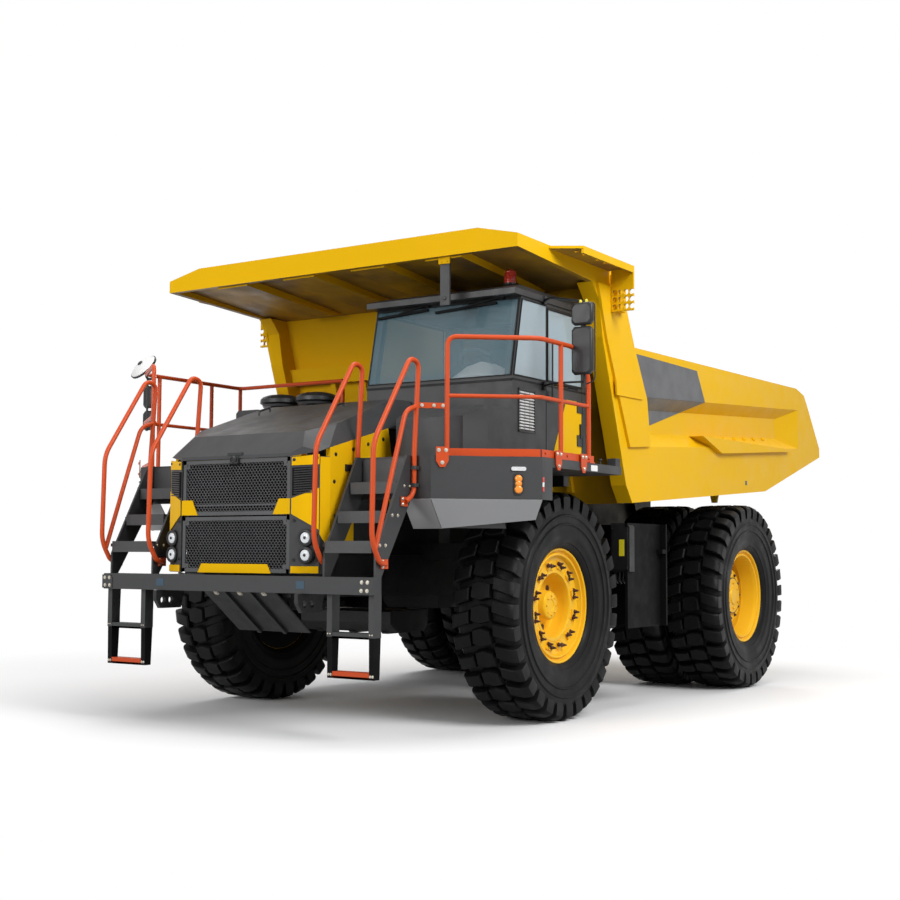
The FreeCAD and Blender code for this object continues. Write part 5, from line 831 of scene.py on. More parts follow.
def grille_frame(build, half, z0, z1, x):
    """Four bars round a field of the grille, with a bolted pad in each corner."""
    wide, back = 0.034, x - 0.020
    build.box((back, -half, z0), (x, wide - half, z1))
    build.box((back, half - wide, z0), (x, half, z1))
    build.box((back, -half, z0), (x, half, z0 + wide))
    build.box((back, -half, z1 - wide), (x, half, z1))
    for y in (wide * 1.2 - half, half - wide * 1.2):
        for z in (z0 + wide * 1.2, z1 - wide * 1.2):
            build.box((back, y - wide, z - wide), (x - 0.002, y + wide, z + wide))
            build.hexagon(at(x - 0.002, y, z), AHEAD, 0.011, 0.009)


def grille():
    half, seam, x = 0.632, 1.905, NOSE_X - 0.010
    build = Build()
    for z0, z1 in ((seam + 0.006, NOSE_TOP - 0.004), (NOSE_FOOT + 0.004, seam - 0.006)):
        grille_frame(build, half, z0, z1, x)
    build.box((x - 0.020, -half, seam + 0.09), (x - 0.010, half, seam + 0.105))
    mesh_field(build, half - 0.03, seam + 0.035, NOSE_TOP - 0.036, x - 0.010)
    mesh_field(build, half - 0.03, NOSE_FOOT + 0.036, seam - 0.038, x - 0.010)
    build.box((x - 0.060, -half + 0.01, NOSE_FOOT + 0.01), (x - 0.050, half - 0.01, NOSE_TOP - 0.01), 1)
    for i in range(24):
        y = -half + 0.05 + i * (2 * half - 0.1) / 23
        build.box((x - 0.052, y - 0.004, NOSE_FOOT + 0.02), (x - 0.040, y + 0.004, NOSE_TOP - 0.02), 1)
    build.piece("grille_mesh", [GRILLE, FLAP], replaces=["grille"], slot="black_plastic")
    yellow = Build()
    front = NOSE_X - 0.009
    upper = [(0.448, 1.915), (0.640, 1.915), (0.640, 2.050), (0.512, 2.050)]
    lower = [(-0.431, NOSE_FOOT), (0.431, NOSE_FOOT), (0.387, NOSE_FOOT + 0.080), (-0.387, NOSE_FOOT + 0.080)]
    for corners in (upper, [(-y, z) for y, z in upper], lower):
        yellow.prism("yz", corners, front, front + 0.008)
    yellow.piece("grille_yellow_patches", [YELLOW], 0.003)
    camera = Build()
    camera.box((NOSE_X - 0.07, -0.085, NOSE_TOP + 0.028), (NOSE_X + 0.008, 0.085, NOSE_TOP + 0.052))
    camera.prism("xz", [(NOSE_X - 0.05, NOSE_TOP + 0.050), (NOSE_X - 0.004, NOSE_TOP + 0.050),
                        (NOSE_X + 0.022, NOSE_TOP - 0.045), (NOSE_X - 0.012, NOSE_TOP - 0.060)], -0.048, 0.048)
    camera.lathe([(0, 0.036), (0.018, 0.036), (0.024, 0.026), (0.016, 0.022), (0.016, 0.001)],
                 at(NOSE_X + 0.010, 0, NOSE_TOP - 0.008), (1, 0, -0.35), 20)
    camera.bolts([at(NOSE_X - 0.03, y, NOSE_TOP + 0.052) for y in (-0.066, 0.066)], UP, 0.009, 0.008)
    camera.piece("front_camera", [PLASTIC], 0.004)


def corner_face(u, z, out=0.0):
    """Point on the angled face beside the grille: u from 0 at the grille to 1 at the outer edge."""
    a, b = Vector((2.430, 0.645)), Vector((2.322, 0.884))
    point = a + (b - a) * u + Vector((0.91, 0.41)).normalized() * out
    return at(point.x, point.y, z)


def corner_plate(build, corners, out, thick, slot):
    near, far = ([corner_face(u, z, distance) for u, z in corners] for distance in (out, out + thick))
    build.rings([near, far], slot)


def front_corners():
    build = Build()
    for corners, thick, slot in (
            ([(0.04, 2.335), (0.98, 2.345), (0.98, 2.432), (0.04, 2.405)], 0.006, 1),
            ([(0.04, 1.915), (0.98, 1.780), (0.98, 2.140), (0.04, 2.050)], 0.006, 1),
            ([(0.04, 1.405), (0.98, 1.405), (0.98, 1.465), (0.04, 1.465)], 0.006, 1),
            ([(0.06, 2.072), (0.70, 2.125), (0.92, 2.165), (0.92, 2.325), (0.06, 2.315)], 0.004, 2)):
        corner_plate(build, corners, 0.001, thick, slot)
    edge = [at(2.318, 0.880, 1.74), at(2.232, 0.920, 1.60), at(2.232, 0.920, 2.41), at(2.318, 0.880, 2.41)]
    build.sheet(edge, Vector((0.25, 0.97, 0)), 0.001, 0.005, 1)
    for i in range(11):
        z = 2.09 + 0.0205 * i
        slat = [(0.12, z), (0.86, z + 0.012), (0.86, z + 0.022), (0.12, z + 0.010)]
        corner_plate(build, slat, 0.004, 0.008, 0)
    for z in (1.71, 1.56):
        centre = at(2.395, 0.788, z)
        for profile, count, slot in (
                ([(-0.050, 0.074), (0.006, 0.074), (0.012, 0.068), (0.014, 0.058), (0.003, 0.046)], 28, 0),
                ([(0.004, 0.047), (0.003, 0.030), (0.0025, 0.001)], 28, 3),
                ([(0.006, 0.046), (0.011, 0.039), (0.014, 0.022), (0.015, 0.001)], 28, 4),
                ([(0.0145, 0.014), (0.0175, 0.012), (0.019, 0.001)], 16, 0)):
            build.lathe(profile, centre, (1, 0.12, 0), count, slot)
    spots = ((0.12, 1.52), (0.12, 1.86), (0.9, 1.52), (0.9, 1.74), (0.12, 2.385), (0.9, 2.40))
    build.bolts([corner_face(u, z, 0.007) for u, z in spots], (0.91, 0.41, 0), 0.010, 0.008)
    build.both().piece("lamp_corner_details", [PLASTIC, YELLOW, FLAP, PALE, LENS], slot="lamp_housing")
    dress("front_lamps", CHARCOAL, 0.006)


def hood_trim():
    dress("hood", CHARCOAL, 0.010)
    dress("hood_sides", YELLOW, 0.008)
    seams = Build()
    seams.box((1.795, 0.9185, 1.66), (1.803, 0.921, 2.60))
    spots = ((2.15, 2.44), (1.90, 2.50), (1.68, 2.56), (2.15, 1.90), (1.68, 1.96), (1.45, 2.62), (2.17, 2.20))
    seams.bolts([at(x, 0.920, z) for x, z in spots], LEFT, 0.013, 0.010)
    seams.box((1.90, 0.92, 2.30), (2.02, 0.932, 2.36))
    seams.both().piece("hood_side_bolts", [PLASTIC], 0.002)
    cabinet = Build()
    cabinet.prism("yz", [(-1.24, DECK), (-0.945, DECK), (-0.945, 3.03), (-1.21, 3.03), (-1.24, 3.00)],
                  0.78, 1.05)
    cabinet.box((1.05, -1.225, DECK + 0.05), (1.062, -0.96, 2.98))
    for z in (2.55, 2.85):
        cabinet.box((1.06, -1.20, z), (1.074, -1.17, z + 0.06), 1)
    for i in range(5):
        cabinet.box((1.061, -1.14, 2.62 + 0.05 * i), (1.068, -0.99, 2.64 + 0.05 * i), 1)
    cabinet.piece("deck_cabinet", [CHARCOAL, PLASTIC], 0.006)
    handles = Build()
    for y in (-0.45, 0.45):
        handles.tube([at(x, y, z) for x, z in ((1.60, 2.895), (1.60, 2.935), (1.44, 2.985), (1.44, 2.945))],
                     0.009, 0.02)
    handles.piece("hood_grab_handles", [PLASTIC])


def bumper_details():
    """End plates and tow plates on the bumper, and the skid plate's sheet, ribs and bolts below it."""
    dress("front_bumper", CHARCOAL, 0.008)
    build = Build()
    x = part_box("front_bumper")[1][0] - AXLE.x
    foot, top = BUMPER_TOP - 0.145, BUMPER_TOP - 0.012
    build.prism("yz", [(1.445, foot + 0.008), (1.575, foot + 0.008), (1.575, top), (1.470, top),
                       (1.445, BUMPER_TOP - 0.04)], x - 0.002, x + 0.006)
    spots = ((1.475, foot + 0.035), (1.535, foot + 0.035), (1.480, foot + 0.105), (1.540, foot + 0.105))
    build.bolts([at(x + 0.006, y, z) for y, z in spots], AHEAD, 0.012, 0.010, 2)
    build.box((x, 0.779, foot + 0.040), (x + 0.003, 0.871, BUMPER_TOP - 0.040), 1)
    build.both()
    normal = Vector((0.606, 0, -0.795))
    for y0, y1, deep in ((-0.416, 0.416, 0.004), (-0.17, -0.13, 0.030), (0.13, 0.17, 0.030)):
        corners = [at(2.387, y0, 1.262), at(1.867, y0, 0.866), at(1.867, y1, 0.866), at(2.387, y1, 1.262)]
        build.sheet(corners, normal, 0, deep, 3)
    build.bolts([at(2.335, y, 1.222) + normal * 0.004 for y in (-0.28, 0.0, 0.28)], normal, 0.020, 0.014, 2)
    build.piece("bumper_plates", [CHARCOAL, BLUE, BOLT, BLACK], 0.0015, slot="frame_black")


grille()
front_corners()
hood_trim()
bumper_details()

# ---------------------------------------------------------------------- decks

APRON = Vector((0.722, 0.692, 0))
DECK_EDGE = 2.4505


def apron_plate(build, x, y, half, corners, thick, slot):
    """Plate on the apron's swept face, its corners in shares of its half width, and heights."""
    u, v = APRON.y * half, -APRON.x * half
    build.sheet([at(x + s * u, y + s * v, z) for s, z in corners], APRON, 0.0, thick, slot)


def lower_facets():
    """Pale sloping plates under both aprons, from the stairs to the outer corner, their grey partly their own
    lighter paint and partly a painted reflection of the floor.
    """
    build = Build()
    top, foot = DECK - 0.37, 1.80
    head = [at(1.884, 1.45, top), at(1.884, 1.742, top), at(1.204, 2.450, top)]
    toe = [at(1.712, 1.45, foot), at(1.714, 1.742, foot), at(1.173, 2.365, foot + 0.08)]
    for i, normal in enumerate((Vector((0.83, 0, -0.56)), Vector((0.648, 0.619, -0.440)))):
        build.sheet([head[i], head[i + 1], toe[i + 1], toe[i]], normal, 0.010, 0.003)
    build.both().piece("deck_lower_facets", [GREY], 0.003, slot="charcoal")


def marker_lamps():
    """Two-lobed amber marker, oblong lamp and upright reflector on each apron."""
    build = Build()
    for z, r in ((2.228, 0.034), (2.185, 0.030), (2.135, 0.036)):
        build.lathe([(0.0, r), (0.010, r), (0.020, r * 0.8), (0.024, r * 0.4), (0.025, 0.001)],
                    at(1.349, 2.295, z) + APRON * 0.004, APRON, 20, 1)
    apron_plate(build, 1.349, 2.295, 0.045,
                ((-1, 2.115), (-0.6, 2.088), (0.6, 2.088), (1, 2.115),
                 (1, 2.245), (0.6, 2.275), (-0.6, 2.275), (-1, 2.245)), 0.008, 0)
    apron_plate(build, 1.348, 2.296, 0.066,
                ((-1, 2.308), (-0.85, 2.298), (0.85, 2.298), (1, 2.308),
                 (1, 2.322), (0.85, 2.332), (-0.85, 2.332), (-1, 2.322)), 0.012, 2)
    for z0, z1, slot in ((2.12, 2.16, 3), (2.162, 2.20, 4), (2.202, 2.245, 3)):
        build.box((1.176, DECK_EDGE, z0), (1.200, 2.458, z1), slot)
    build.both().piece("deck_marker_lamps", [PLASTIC, AMBER, CHROME, RED_LENS, PALE], 0.002)


def deck_edge_details():
    """Plate on each deck's edge, and the lamp and the filler at its rear corner."""
    build = Build()
    build.box((0.16, DECK_EDGE, DECK - 0.072), (0.29, DECK_EDGE + 0.005, DECK - 0.018))
    build.box((-0.335, 2.355, DECK), (-0.235, 2.445, DECK + 0.075), 1)
    build.lathe([(-0.02, 0.030), (0.012, 0.030), (0.016, 0.022), (0.008, 0.018), (0.008, 0.001)],
                at(-0.345, 2.40, DECK + 0.038), (-1, 0, 0), 20, 1)
    build.lathe([(0, 0.034), (0.010, 0.034), (0.012, 0.012), (0.050, 0.010), (0.054, 0.022), (0.070, 0.020),
                 (0.076, 0.001)], at(-0.193, 2.30, DECK), UP, 16, 1)
    build.both().piece("deck_edge_fittings", [PALE, PLASTIC], 0.003, slot="charcoal")


def decks():
    dress("deck_left", CHARCOAL, 0.008)
    dress("deck_right", CHARCOAL, 0.008)
    lower_facets()
    marker_lamps()
    deck_edge_details()
    walk = Build()
    for count, start, step, x0, x1 in ((22, -2.30, 0.045, 0.10, 1.15), (14, 2.02, 0.027, 0.35, 1.12)):
        for i in range(count):
            y = start + step * i
            walk.box((x0, y, DECK), (x1, y + 0.006, DECK + 0.006))
    walk.piece("deck_grip_ribs", [STEP])


def intakes():
    build = Build()
    low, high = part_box("air_intakes")
    r = (high[0] - low[0]) / 2
    x = (low[0] + high[0]) / 2
    top = high[2] + 0.07
    pipe = [(DECK - top, 0.10), (-0.22, 0.10), (-0.21, 0.115), (-0.16, 0.115), (-0.155, 0.10), (-0.10, 0.10)]
    cap = [(-0.11, 0.12), (-0.115, r - 0.03), (-0.095, r), (-0.055, r - 0.004), (-0.030, r - 0.03),
           (-0.010, r * 0.62), (0.0, r * 0.30), (0.0, 0.001)]
    screen = [(-0.108, r * 0.9), (-0.135, r * 0.86), (-0.135, r * 0.5), (-0.108, r * 0.45)]
    for y in (low[1] + r, high[1] - r):
        for profile, count, slot in ((pipe, 32, 0), (cap, 44, 0), (screen, 44, 1)):
            build.lathe(profile, (x, y, top), UP, count, slot)
        for i in range(4):
            a = math.pi * i / 2 + 0.4
            u, v = x - AXLE.x + 0.11 * math.cos(a), y + 0.11 * math.sin(a)
            build.box((u - 0.008, v - 0.008, top - 0.19), (u + 0.008, v + 0.008, top - 0.11))
    build.piece("air_intake_caps", [PLASTIC, STEP], replaces=["air_intakes"])


def mirror_head(build, x, y, z0, z1, half):
    """Mirror housing with a glass set into its back."""
    centre = at(x, y, (z0 + z1) / 2)
    high = (z1 - z0) / 2
    c = 0.028

    def outline(inset, depth):
        w, h = half - inset, high - inset
        points = ((-w, -h + c), (-w + c, -h), (w - c, -h), (w, -h + c),
                  (w, h - c), (w - c, h), (-w + c, h), (-w, h - c))
        return [centre + Vector((depth, u, v)) for u, v in points]
    build.rings([outline(0.020, 0.034), outline(0.007, 0.028), outline(0.0, 0.016), outline(0.0, -0.012),
                 outline(0.010, -0.020)], soft=True)
    build.rings([outline(0.018, -0.0225), outline(0.018, -0.0195)], 1)


def mirrors():
    """Two mirrors under a round one on the right deck's rail, and two beside the driver's door."""
    right = Build()
    y, x = -2.52, 1.05
    right.tube([at(1.06, -2.415, 3.44), at(1.06, y, 3.44), at(1.09, y, 3.53)], 0.014, 0.04)
    right.tube([at(1.06, -2.415, 2.95), at(1.06, y, 2.98)], 0.011)
    right.tube([at(x, y, 2.88), at(x, y, 3.46)], 0.012)
    for z0, z1 in ((2.89, 3.10), (3.13, 3.37)):
        mirror_head(right, x - 0.03, y, z0, z1, 0.070)
    back = (0.754, -0.155, 0.634)
    centre = at(1.12, -2.512, 3.565)
    for profile, count, slot in (
            ([(-0.012, 0.152), (-0.010, 0.166), (0.006, 0.168), (0.012, 0.158)], 36, 0),
            ([(0.010, 0.160), (0.026, 0.138), (0.046, 0.092), (0.057, 0.045), (0.060, 0.001)], 36, 2),
            ([(0.056, 0.030), (0.070, 0.028), (0.074, 0.001)], 16, 0),
            ([(-0.010, 0.154), (-0.022, 0.110), (-0.030, 0.001)], 36, 1)):
        right.lathe(profile, centre, back, count, slot)
    right.piece("mirror_right_set", [PLASTIC, MIRROR, PALE])
    left = Build()
    y, x = 2.51, 0.52
    left.tube([at(0.30, 1.955, 3.985), at(0.40, 2.10, 3.985), at(x, y - 0.05, 3.900), at(x, y, 3.88)],
              0.012, 0.05)
    left.tube([at(0.30, 1.955, 3.165), at(0.40, 2.10, 3.175), at(x, y, 3.15)], 0.010, 0.05)
    left.tube([at(x, y, 3.10), at(x, y, 3.90)], 0.013)
    left.tube([at(x - 0.03, *place) for place in ((y + 0.04, 3.88), (2.60, 3.87), (2.60, 3.16), (y, 3.13))],
              0.006, 0.04, 8)
    for z in (3.42, 3.78):
        left.box((x - 0.03, y - 0.03, z - 0.035), (x + 0.065, y + 0.03, z + 0.035))
    for z0, z1, half in ((3.210, 3.650, 0.106), (3.665, 3.872, 0.108)):
        mirror_head(left, x + 0.045, y + 0.005, z0, z1, half)
    for dy in (-0.03, 0.03):
        left.lathe([(0, 0.014), (0.030, 0.014), (0.036, 0.008), (0.036, 0.001)],
                   at(x + 0.02, y + dy, 3.868), UP, 12, 2)
    for z in (3.165, 3.985):
        left.lathe([(-0.04, 0.022), (0.04, 0.022)], at(0.30, 1.972, z), UP, 12)
    left.piece("mirror_left_set", [PLASTIC, MIRROR, PLATE], replaces=["mirrors"])


decks()
intakes()
mirrors()

# ------------------------------------------------------------------------ cab


def on_screen(y, t):
    """Point on the windscreen's outer plane, t from its foot to its head."""
    return at(0.875 - 0.165 * t, y, 3.185 + 0.79 * t)


CAB_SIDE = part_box("cab_door")[0][1] + 0.07
CAB_INNER = 0.300
SASH, EAVES = 3.215, 3.945
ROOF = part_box("cab_shell")[1][2]


def wipers():
    """Both wipers, parked across the head of the windscreen."""
    build = Build()
    for pivot, elbow, tip, blade in ((0.92, 0.70, 0.60, (0.34, 0.93)), (1.76, 1.52, 1.38, (1.02, 1.70))):
        arm = [on_screen(pivot, 1.0), on_screen(elbow, 0.955), on_screen(tip, 0.915)]
        build.tube([p + Vector((0.034, 0, 0)) for p in arm], 0.011, 0.05, 8)
        ends = [on_screen(blade[0], 0.885), on_screen(blade[1], 0.930)]
        build.tube([p + Vector((0.018, 0, 0)) for p in ends], 0.013, 0, 6)
        build.tube([p + Vector((0.030, 0, 0.010)) for p in ends], 0.005, 0, 6)
        build.lathe([(0, 0.028), (0.03, 0.026), (0.036, 0.016), (0.036, 0.001)], arm[0], (1, 0, 0.2), 16)
    build.piece("wipers", [SEAL], slot="black_plastic")


def roof_fittings():
    """Beacon with a ribbed lens, aerial and raised roof panel."""
    build = Build()
    spot = at(0.42, 1.66, ROOF)
    build.lathe([(0, 0.080), (0.050, 0.075), (0.070, 0.060), (0.088, 0.060)], spot, UP, 24)
    ribs = [(0.086 + 0.018 * i + rise, 0.064 - 0.0012 * i - dip)
            for i in range(6) for rise, dip in ((0.0, 0.0), (0.010, 0.0), (0.014, 0.007))]
    build.lathe(ribs + [(0.198, 0.052), (0.214, 0.040), (0.220, 0.001)], spot, UP, 24, 1)
    build.tube([at(-0.30, 0.62, ROOF), at(-0.34, 0.62, ROOF + 0.10)], 0.005, 0, 8)
    rings = []
    for z, inset in ((-0.001, 0.0), (0.022, 0.0), (0.034, 0.04)):
        x0, y0, x1, y1 = -0.44 + inset, 0.55 + inset, 0.25 - inset, 1.35 - inset
        rings.append([at(x, y, ROOF + z) for x, y in ((x0, y0), (x1, y0), (x1, y1), (x0, y1))])
    build.rings(rings)
    build.piece("cab_roof_fittings", [PLASTIC, RED_LENS], 0.004)


def louvre():
    build = Build()
    y, z0, z1, x0, x1 = CAB_SIDE, 2.70, 3.105, 0.455, 0.765
    for x in (x0, x1 - 0.014):
        build.box((x, y - 0.004, z0), (x + 0.014, y + 0.008, z1))
    for z in (z0, z1 - 0.016):
        build.box((x0, y - 0.004, z), (x1, y + 0.008, z + 0.016))
    for row in range(13):
        z = z0 + 0.024 + 0.0280 * row
        for column in range(3):
            x = x0 + 0.026 + 0.090 * column
            blade = [(y - 0.002, z), (y + 0.011, z + 0.003), (y + 0.011, z + 0.008), (y - 0.002, z + 0.020)]
            build.prism("yz", blade, x, x + 0.078, 1)
    build.piece("cab_louvre", [CHARCOAL, PALE], 0.001)


def pane(name, corners, axis, rim, material, body="chassis"):
    """Glass sheet inside a dark bonded rim, lying on a plane wall."""
    build = Build()
    out = Vector(axis).normalized()
    centre = sum(corners, Vector()) / len(corners)
    inner = [p + (centre - p).normalized() * rim * 1.3 for p in corners]
    for i, corner in enumerate(corners):
        k = (i + 1) % len(corners)
        build.sheet([corner, corners[k], inner[k], inner[i]], out, 0.001, 0.009, 1)
    build.sheet(inner, out, 0.001, 0.007)
    build.piece(name, [material, SEAL], body=body, slot="glass")


def windows():
    """Bonded glass that covers the pillars, as on the real cab."""
    foot, head = 0.035, 0.965
    inner, outer = CAB_INNER + 0.012, 1.938
    pane("windscreen_sheet", [on_screen(inner, foot), on_screen(outer, foot), on_screen(outer, head),
                              on_screen(inner, head)], (0.79, 0, 0.165), 0.010, GLASS)
    quarter = ((0.853, SASH), (0.250, SASH), (0.250, EAVES), (0.700, EAVES))
    door = ((0.226, SASH), (-0.476, SASH), (-0.476, 3.925), (0.226, 3.925))
    right = ((0.853, SASH), (0.700, EAVES), (-0.50, EAVES), (-0.50, SASH))
    for name, y, out, corners, rim, body in (
            ("quarter_window_sheet", CAB_SIDE, 1, quarter, 0.010, "chassis"),
            ("door_window_sheet", CAB_SIDE, 1, door, 0.020, "door"),
            ("right_window_sheet", CAB_INNER, -1, right, 0.020, "chassis")):
        pane(name, [at(x, y, z) for x, z in corners], (0, out, 0), rim, SIDE_GLASS, body)
    dress("cab_windows", THIN_GLASS)
    dress("door_window", THIN_GLASS)


def door_details():
    """Yellow patch, latch, lock and handle on the door, and the seams of the panels round it."""
    build = Build()
    y = CAB_SIDE
    patch = [(-0.13, 3.01), (0.09, 2.56), (-0.470, 2.56), (-0.470, 3.08), (-0.16, 3.08)]
    build.prism("xz", patch, y, y + 0.004)
    build.box((-0.468, y + 0.002, 2.72), (-0.425, y + 0.022, 2.86), 1)
    build.box((0.10, y, 3.02), (0.205, y + 0.006, 3.13), 1)
    handle = ((0.0, 3.06), (0.040, 3.06), (0.040, 3.60), (0.0, 3.60))
    build.tube([at(0.185, y + out, z) for out, z in handle], 0.009, 0.03, 10, 1)
    build.piece("door_patch_and_handle", [YELLOW, PLASTIC], body="door", slot="body_yellow")
    seams = Build()
    seams.box((0.234, y - 0.006, 2.54), (0.240, y + 0.003, 3.93))
    seams.box((-0.58, y - 0.002, 3.170), (0.862, y + 0.004, 3.186))
    seams.box((0.866, CAB_INNER, 3.164), (0.878, CAB_SIDE, 3.184))
    seams.tube([at(0.92, 0.60, 2.98), at(0.90, 0.60, 3.02)], 0.012)
    seams.piece("cab_seams", [SEAL], 0.001)


def cab_inside():
    """Seat, instrument hood and visor seen through the glass."""
    seat_x, seat_y = -0.13, 1.20
    cushion = Build()
    cushion.rings([[at(seat_x + x, seat_y + y, z)
                    for x, y in rounded_plan(-0.25 - grow, -0.25 - grow, 0.27 + grow, 0.25 + grow, 0.08)]
                   for z, grow in ((2.910, -0.03), (2.931, 0.0), (2.980, 0.012), (3.029, 0.0), (3.046, -0.03),
                                   (3.052, -0.09))], soft=True)
    cushion.piece("seat_cushion_pad", [SEAT], slot="interior")
    hood = Build()
    rings = []
    for y in (1.13, 1.18, 1.30, 1.46, 1.62, 1.74, 1.79):
        lift = 0.16 * (1 - ((y - 1.46) / 0.335) ** 2)
        rings.append([at(x, y, z) for x, z in ((0.46, 3.16), (0.74, 3.16), (0.76, 3.20 + 0.4 * lift),
                                               (0.62, 3.24 + lift), (0.46, 3.22 + lift))])
    hood.rings(rings, soft=True)
    hood.piece("instrument_hood", [PALE], 0.006, slot="interior")
    visor = Build()
    visor.prism("xz", [(0.600, 3.95), (0.612, 3.95), (0.640, 3.77), (0.628, 3.77)], 1.30, 1.42)
    visor.piece("sun_visor", [SEAL], 0.004)


def rounded_plan(x0, y0, x1, y1, r):
    """Outline of a rectangle with rounded corners."""
    points = []
    for cx, cy, start in ((x1 - r, y1 - r, 0), (x0 + r, y1 - r, 90),
                          (x0 + r, y0 + r, 180), (x1 - r, y0 + r, 270)):
        for step in range(5):
            angle = math.radians(start + 22.5 * step)
            points.append((cx + r * math.cos(angle), cy + r * math.sin(angle)))
    return points


def cab():
    dress("cab_shell", CHARCOAL, 0.008)
    dress("cab_door", CHARCOAL, 0.006)
    wipers()
    roof_fittings()
    louvre()
    windows()
    door_details()
    cab_inside()


cab()

# ------------------------------------------------------------------------ bed

WALL_Y = 2.150
RECESS_Y = 2.025


def beam_foot(x):
    """Lower edge of the side's top beam."""
    return 3.230 + 0.06 * (-1.580 - x)


def side_panels():
    """Grey paint across the top beam, its sloping underside and the corner of the recess."""
    build = Build()
    front, rear, drop, thin = -1.585, -2.700, 0.125, 0.0008
    skin = ((-1.262, 3.660), (-1.533, 3.222), (-1.583, beam_foot(-1.583)), (-3.131, beam_foot(-3.131)),
            (-2.907, 3.660))
    build.sheet([at(x, WALL_Y, z) for x, z in skin][::-1], Vector(LEFT), thin, 0.003)
    slope = [at(front, WALL_Y, beam_foot(front)), at(front, RECESS_Y, beam_foot(front) - drop),
             at(rear, RECESS_Y, beam_foot(rear) - drop), at(-3.131, WALL_Y, beam_foot(-3.131))]
    build.sheet(slope, Vector((0, 0.7, -0.7)).normalized(), thin, 0.003)
    corner = ((front, 3.105), (front, 2.880), (rear, 3.172))
    build.sheet([at(x, RECESS_Y, z) for x, z in corner][::-1], Vector(LEFT), thin, 0.003)
    build.both().piece("bed_grey_panels", [PANEL], body="bed", slot="charcoal")


def post_bands():
    """Doubler plate round each corner post, and the gussets of the spill wings."""
    build = Build()
    band = ((-0.765, 3.334), (-0.786, 3.175), (-1.392, 3.182), (-1.371, 3.390))
    build.sheet([at(x, 2.180, z) for x, z in band], Vector(LEFT), -0.004, 0.014)
    build.box((-0.90, 2.13, 4.02), (-0.765, 2.245, 4.40))
    build.box((-0.80, 2.03, 4.05), (-0.765, 2.13, 4.48))
    build.both().piece("bed_post_bands", [YELLOW], 0.006, body="bed")


def side_details():
    """Bumps along the ledge, hanger under the floor and a small plate on each side."""
    build = Build()
    for i in range(6):
        build.lathe([(-0.01, 0.026), (0.006, 0.022), (0.011, 0.012), (0.012, 0.001)],
                    at(-3.602 - 0.325 * i, 2.060, 2.942 + 0.0225 * i), (0, 0.75, 0.66), 16)
    build.prism("yz", [(1.83, 2.40), (1.97, 2.40), (1.93, 2.20), (1.87, 2.20)], -4.02, -3.98)
    build.box((-4.42, WALL_Y, 2.425), (-4.365, WALL_Y + 0.004, 2.477), 1)
    build.both().piece("bed_side_fittings", [YELLOW, BLUE], 0.002, body="bed")


def lip_bracket():
    """Lamp bar under the canopy's lip, in front of the cab's roof."""
    build = Build()
    build.prism("yz", [(1.262, 4.375), (1.395, 4.375), (1.392, 4.272), (1.270, 4.272)], 1.062, 1.075)
    build.bolts([at(1.075, y, 4.292) for y in (1.295, 1.362)], AHEAD, 0.010, 0.008)
    build.piece("lip_bracket", [YELLOW], 0.003, body="bed")
    bar = Build()
    bar.box((1.035, 1.277, 3.885), (1.062, 1.382, 4.345))
    bar.lathe([(0, 0.020), (0.012, 0.018), (0.014, 0.001)], at(1.062, 1.330, 3.95), AHEAD, 14)
    bar.piece("lip_bar", [CHARCOAL], 0.004, body="bed")


def wing_holes():
    """Light holes through the rear plates of the spill wings, cut by a hidden tool."""
    holes = Build()
    for row in range(3):
        for column in range(4):
            centre = at(-0.78, 2.225 + 0.062 * column, 4.045 + 0.072 * row)
            holes.lathe([(0, 0.0275), (0.16, 0.0275)], centre, AHEAD, 20)
    for x in (0.28, 0.12, -0.16, -0.32):
        holes.lathe([(0, 0.020), (0.10, 0.020)], at(x, 2.30, 4.38), UP, 16)
    canopy = nodes["bed_canopy"]
    cutter = placed("wing_hole_tool", holes.both().mesh("wing_hole_tool"))
    cutter.parent = canopy.parent
    cutter.hide_render = True
    cutter.hide_viewport = True
    dress("bed_canopy", CANOPY)
    cut = canopy.modifiers.new("wing holes", "BOOLEAN")
    cut.operation = "DIFFERENCE"
    cut.solver = "EXACT"
    cut.object = cutter
    rounded(canopy, 0.012, True)


def bed():
    dress("bed_side_left", YELLOW, 0.012)
    dress("bed_side_right", YELLOW, 0.012)
    dress("bed_floor", FLOOR_PAINT, 0.012)
    dress("bed_front_wall", WALL, 0.010)
    wing_holes()
    side_panels()
    post_bands()
    side_details()
    lip_bracket()


bed()

# ----------------------------------------------------- hoists, struts, chassis


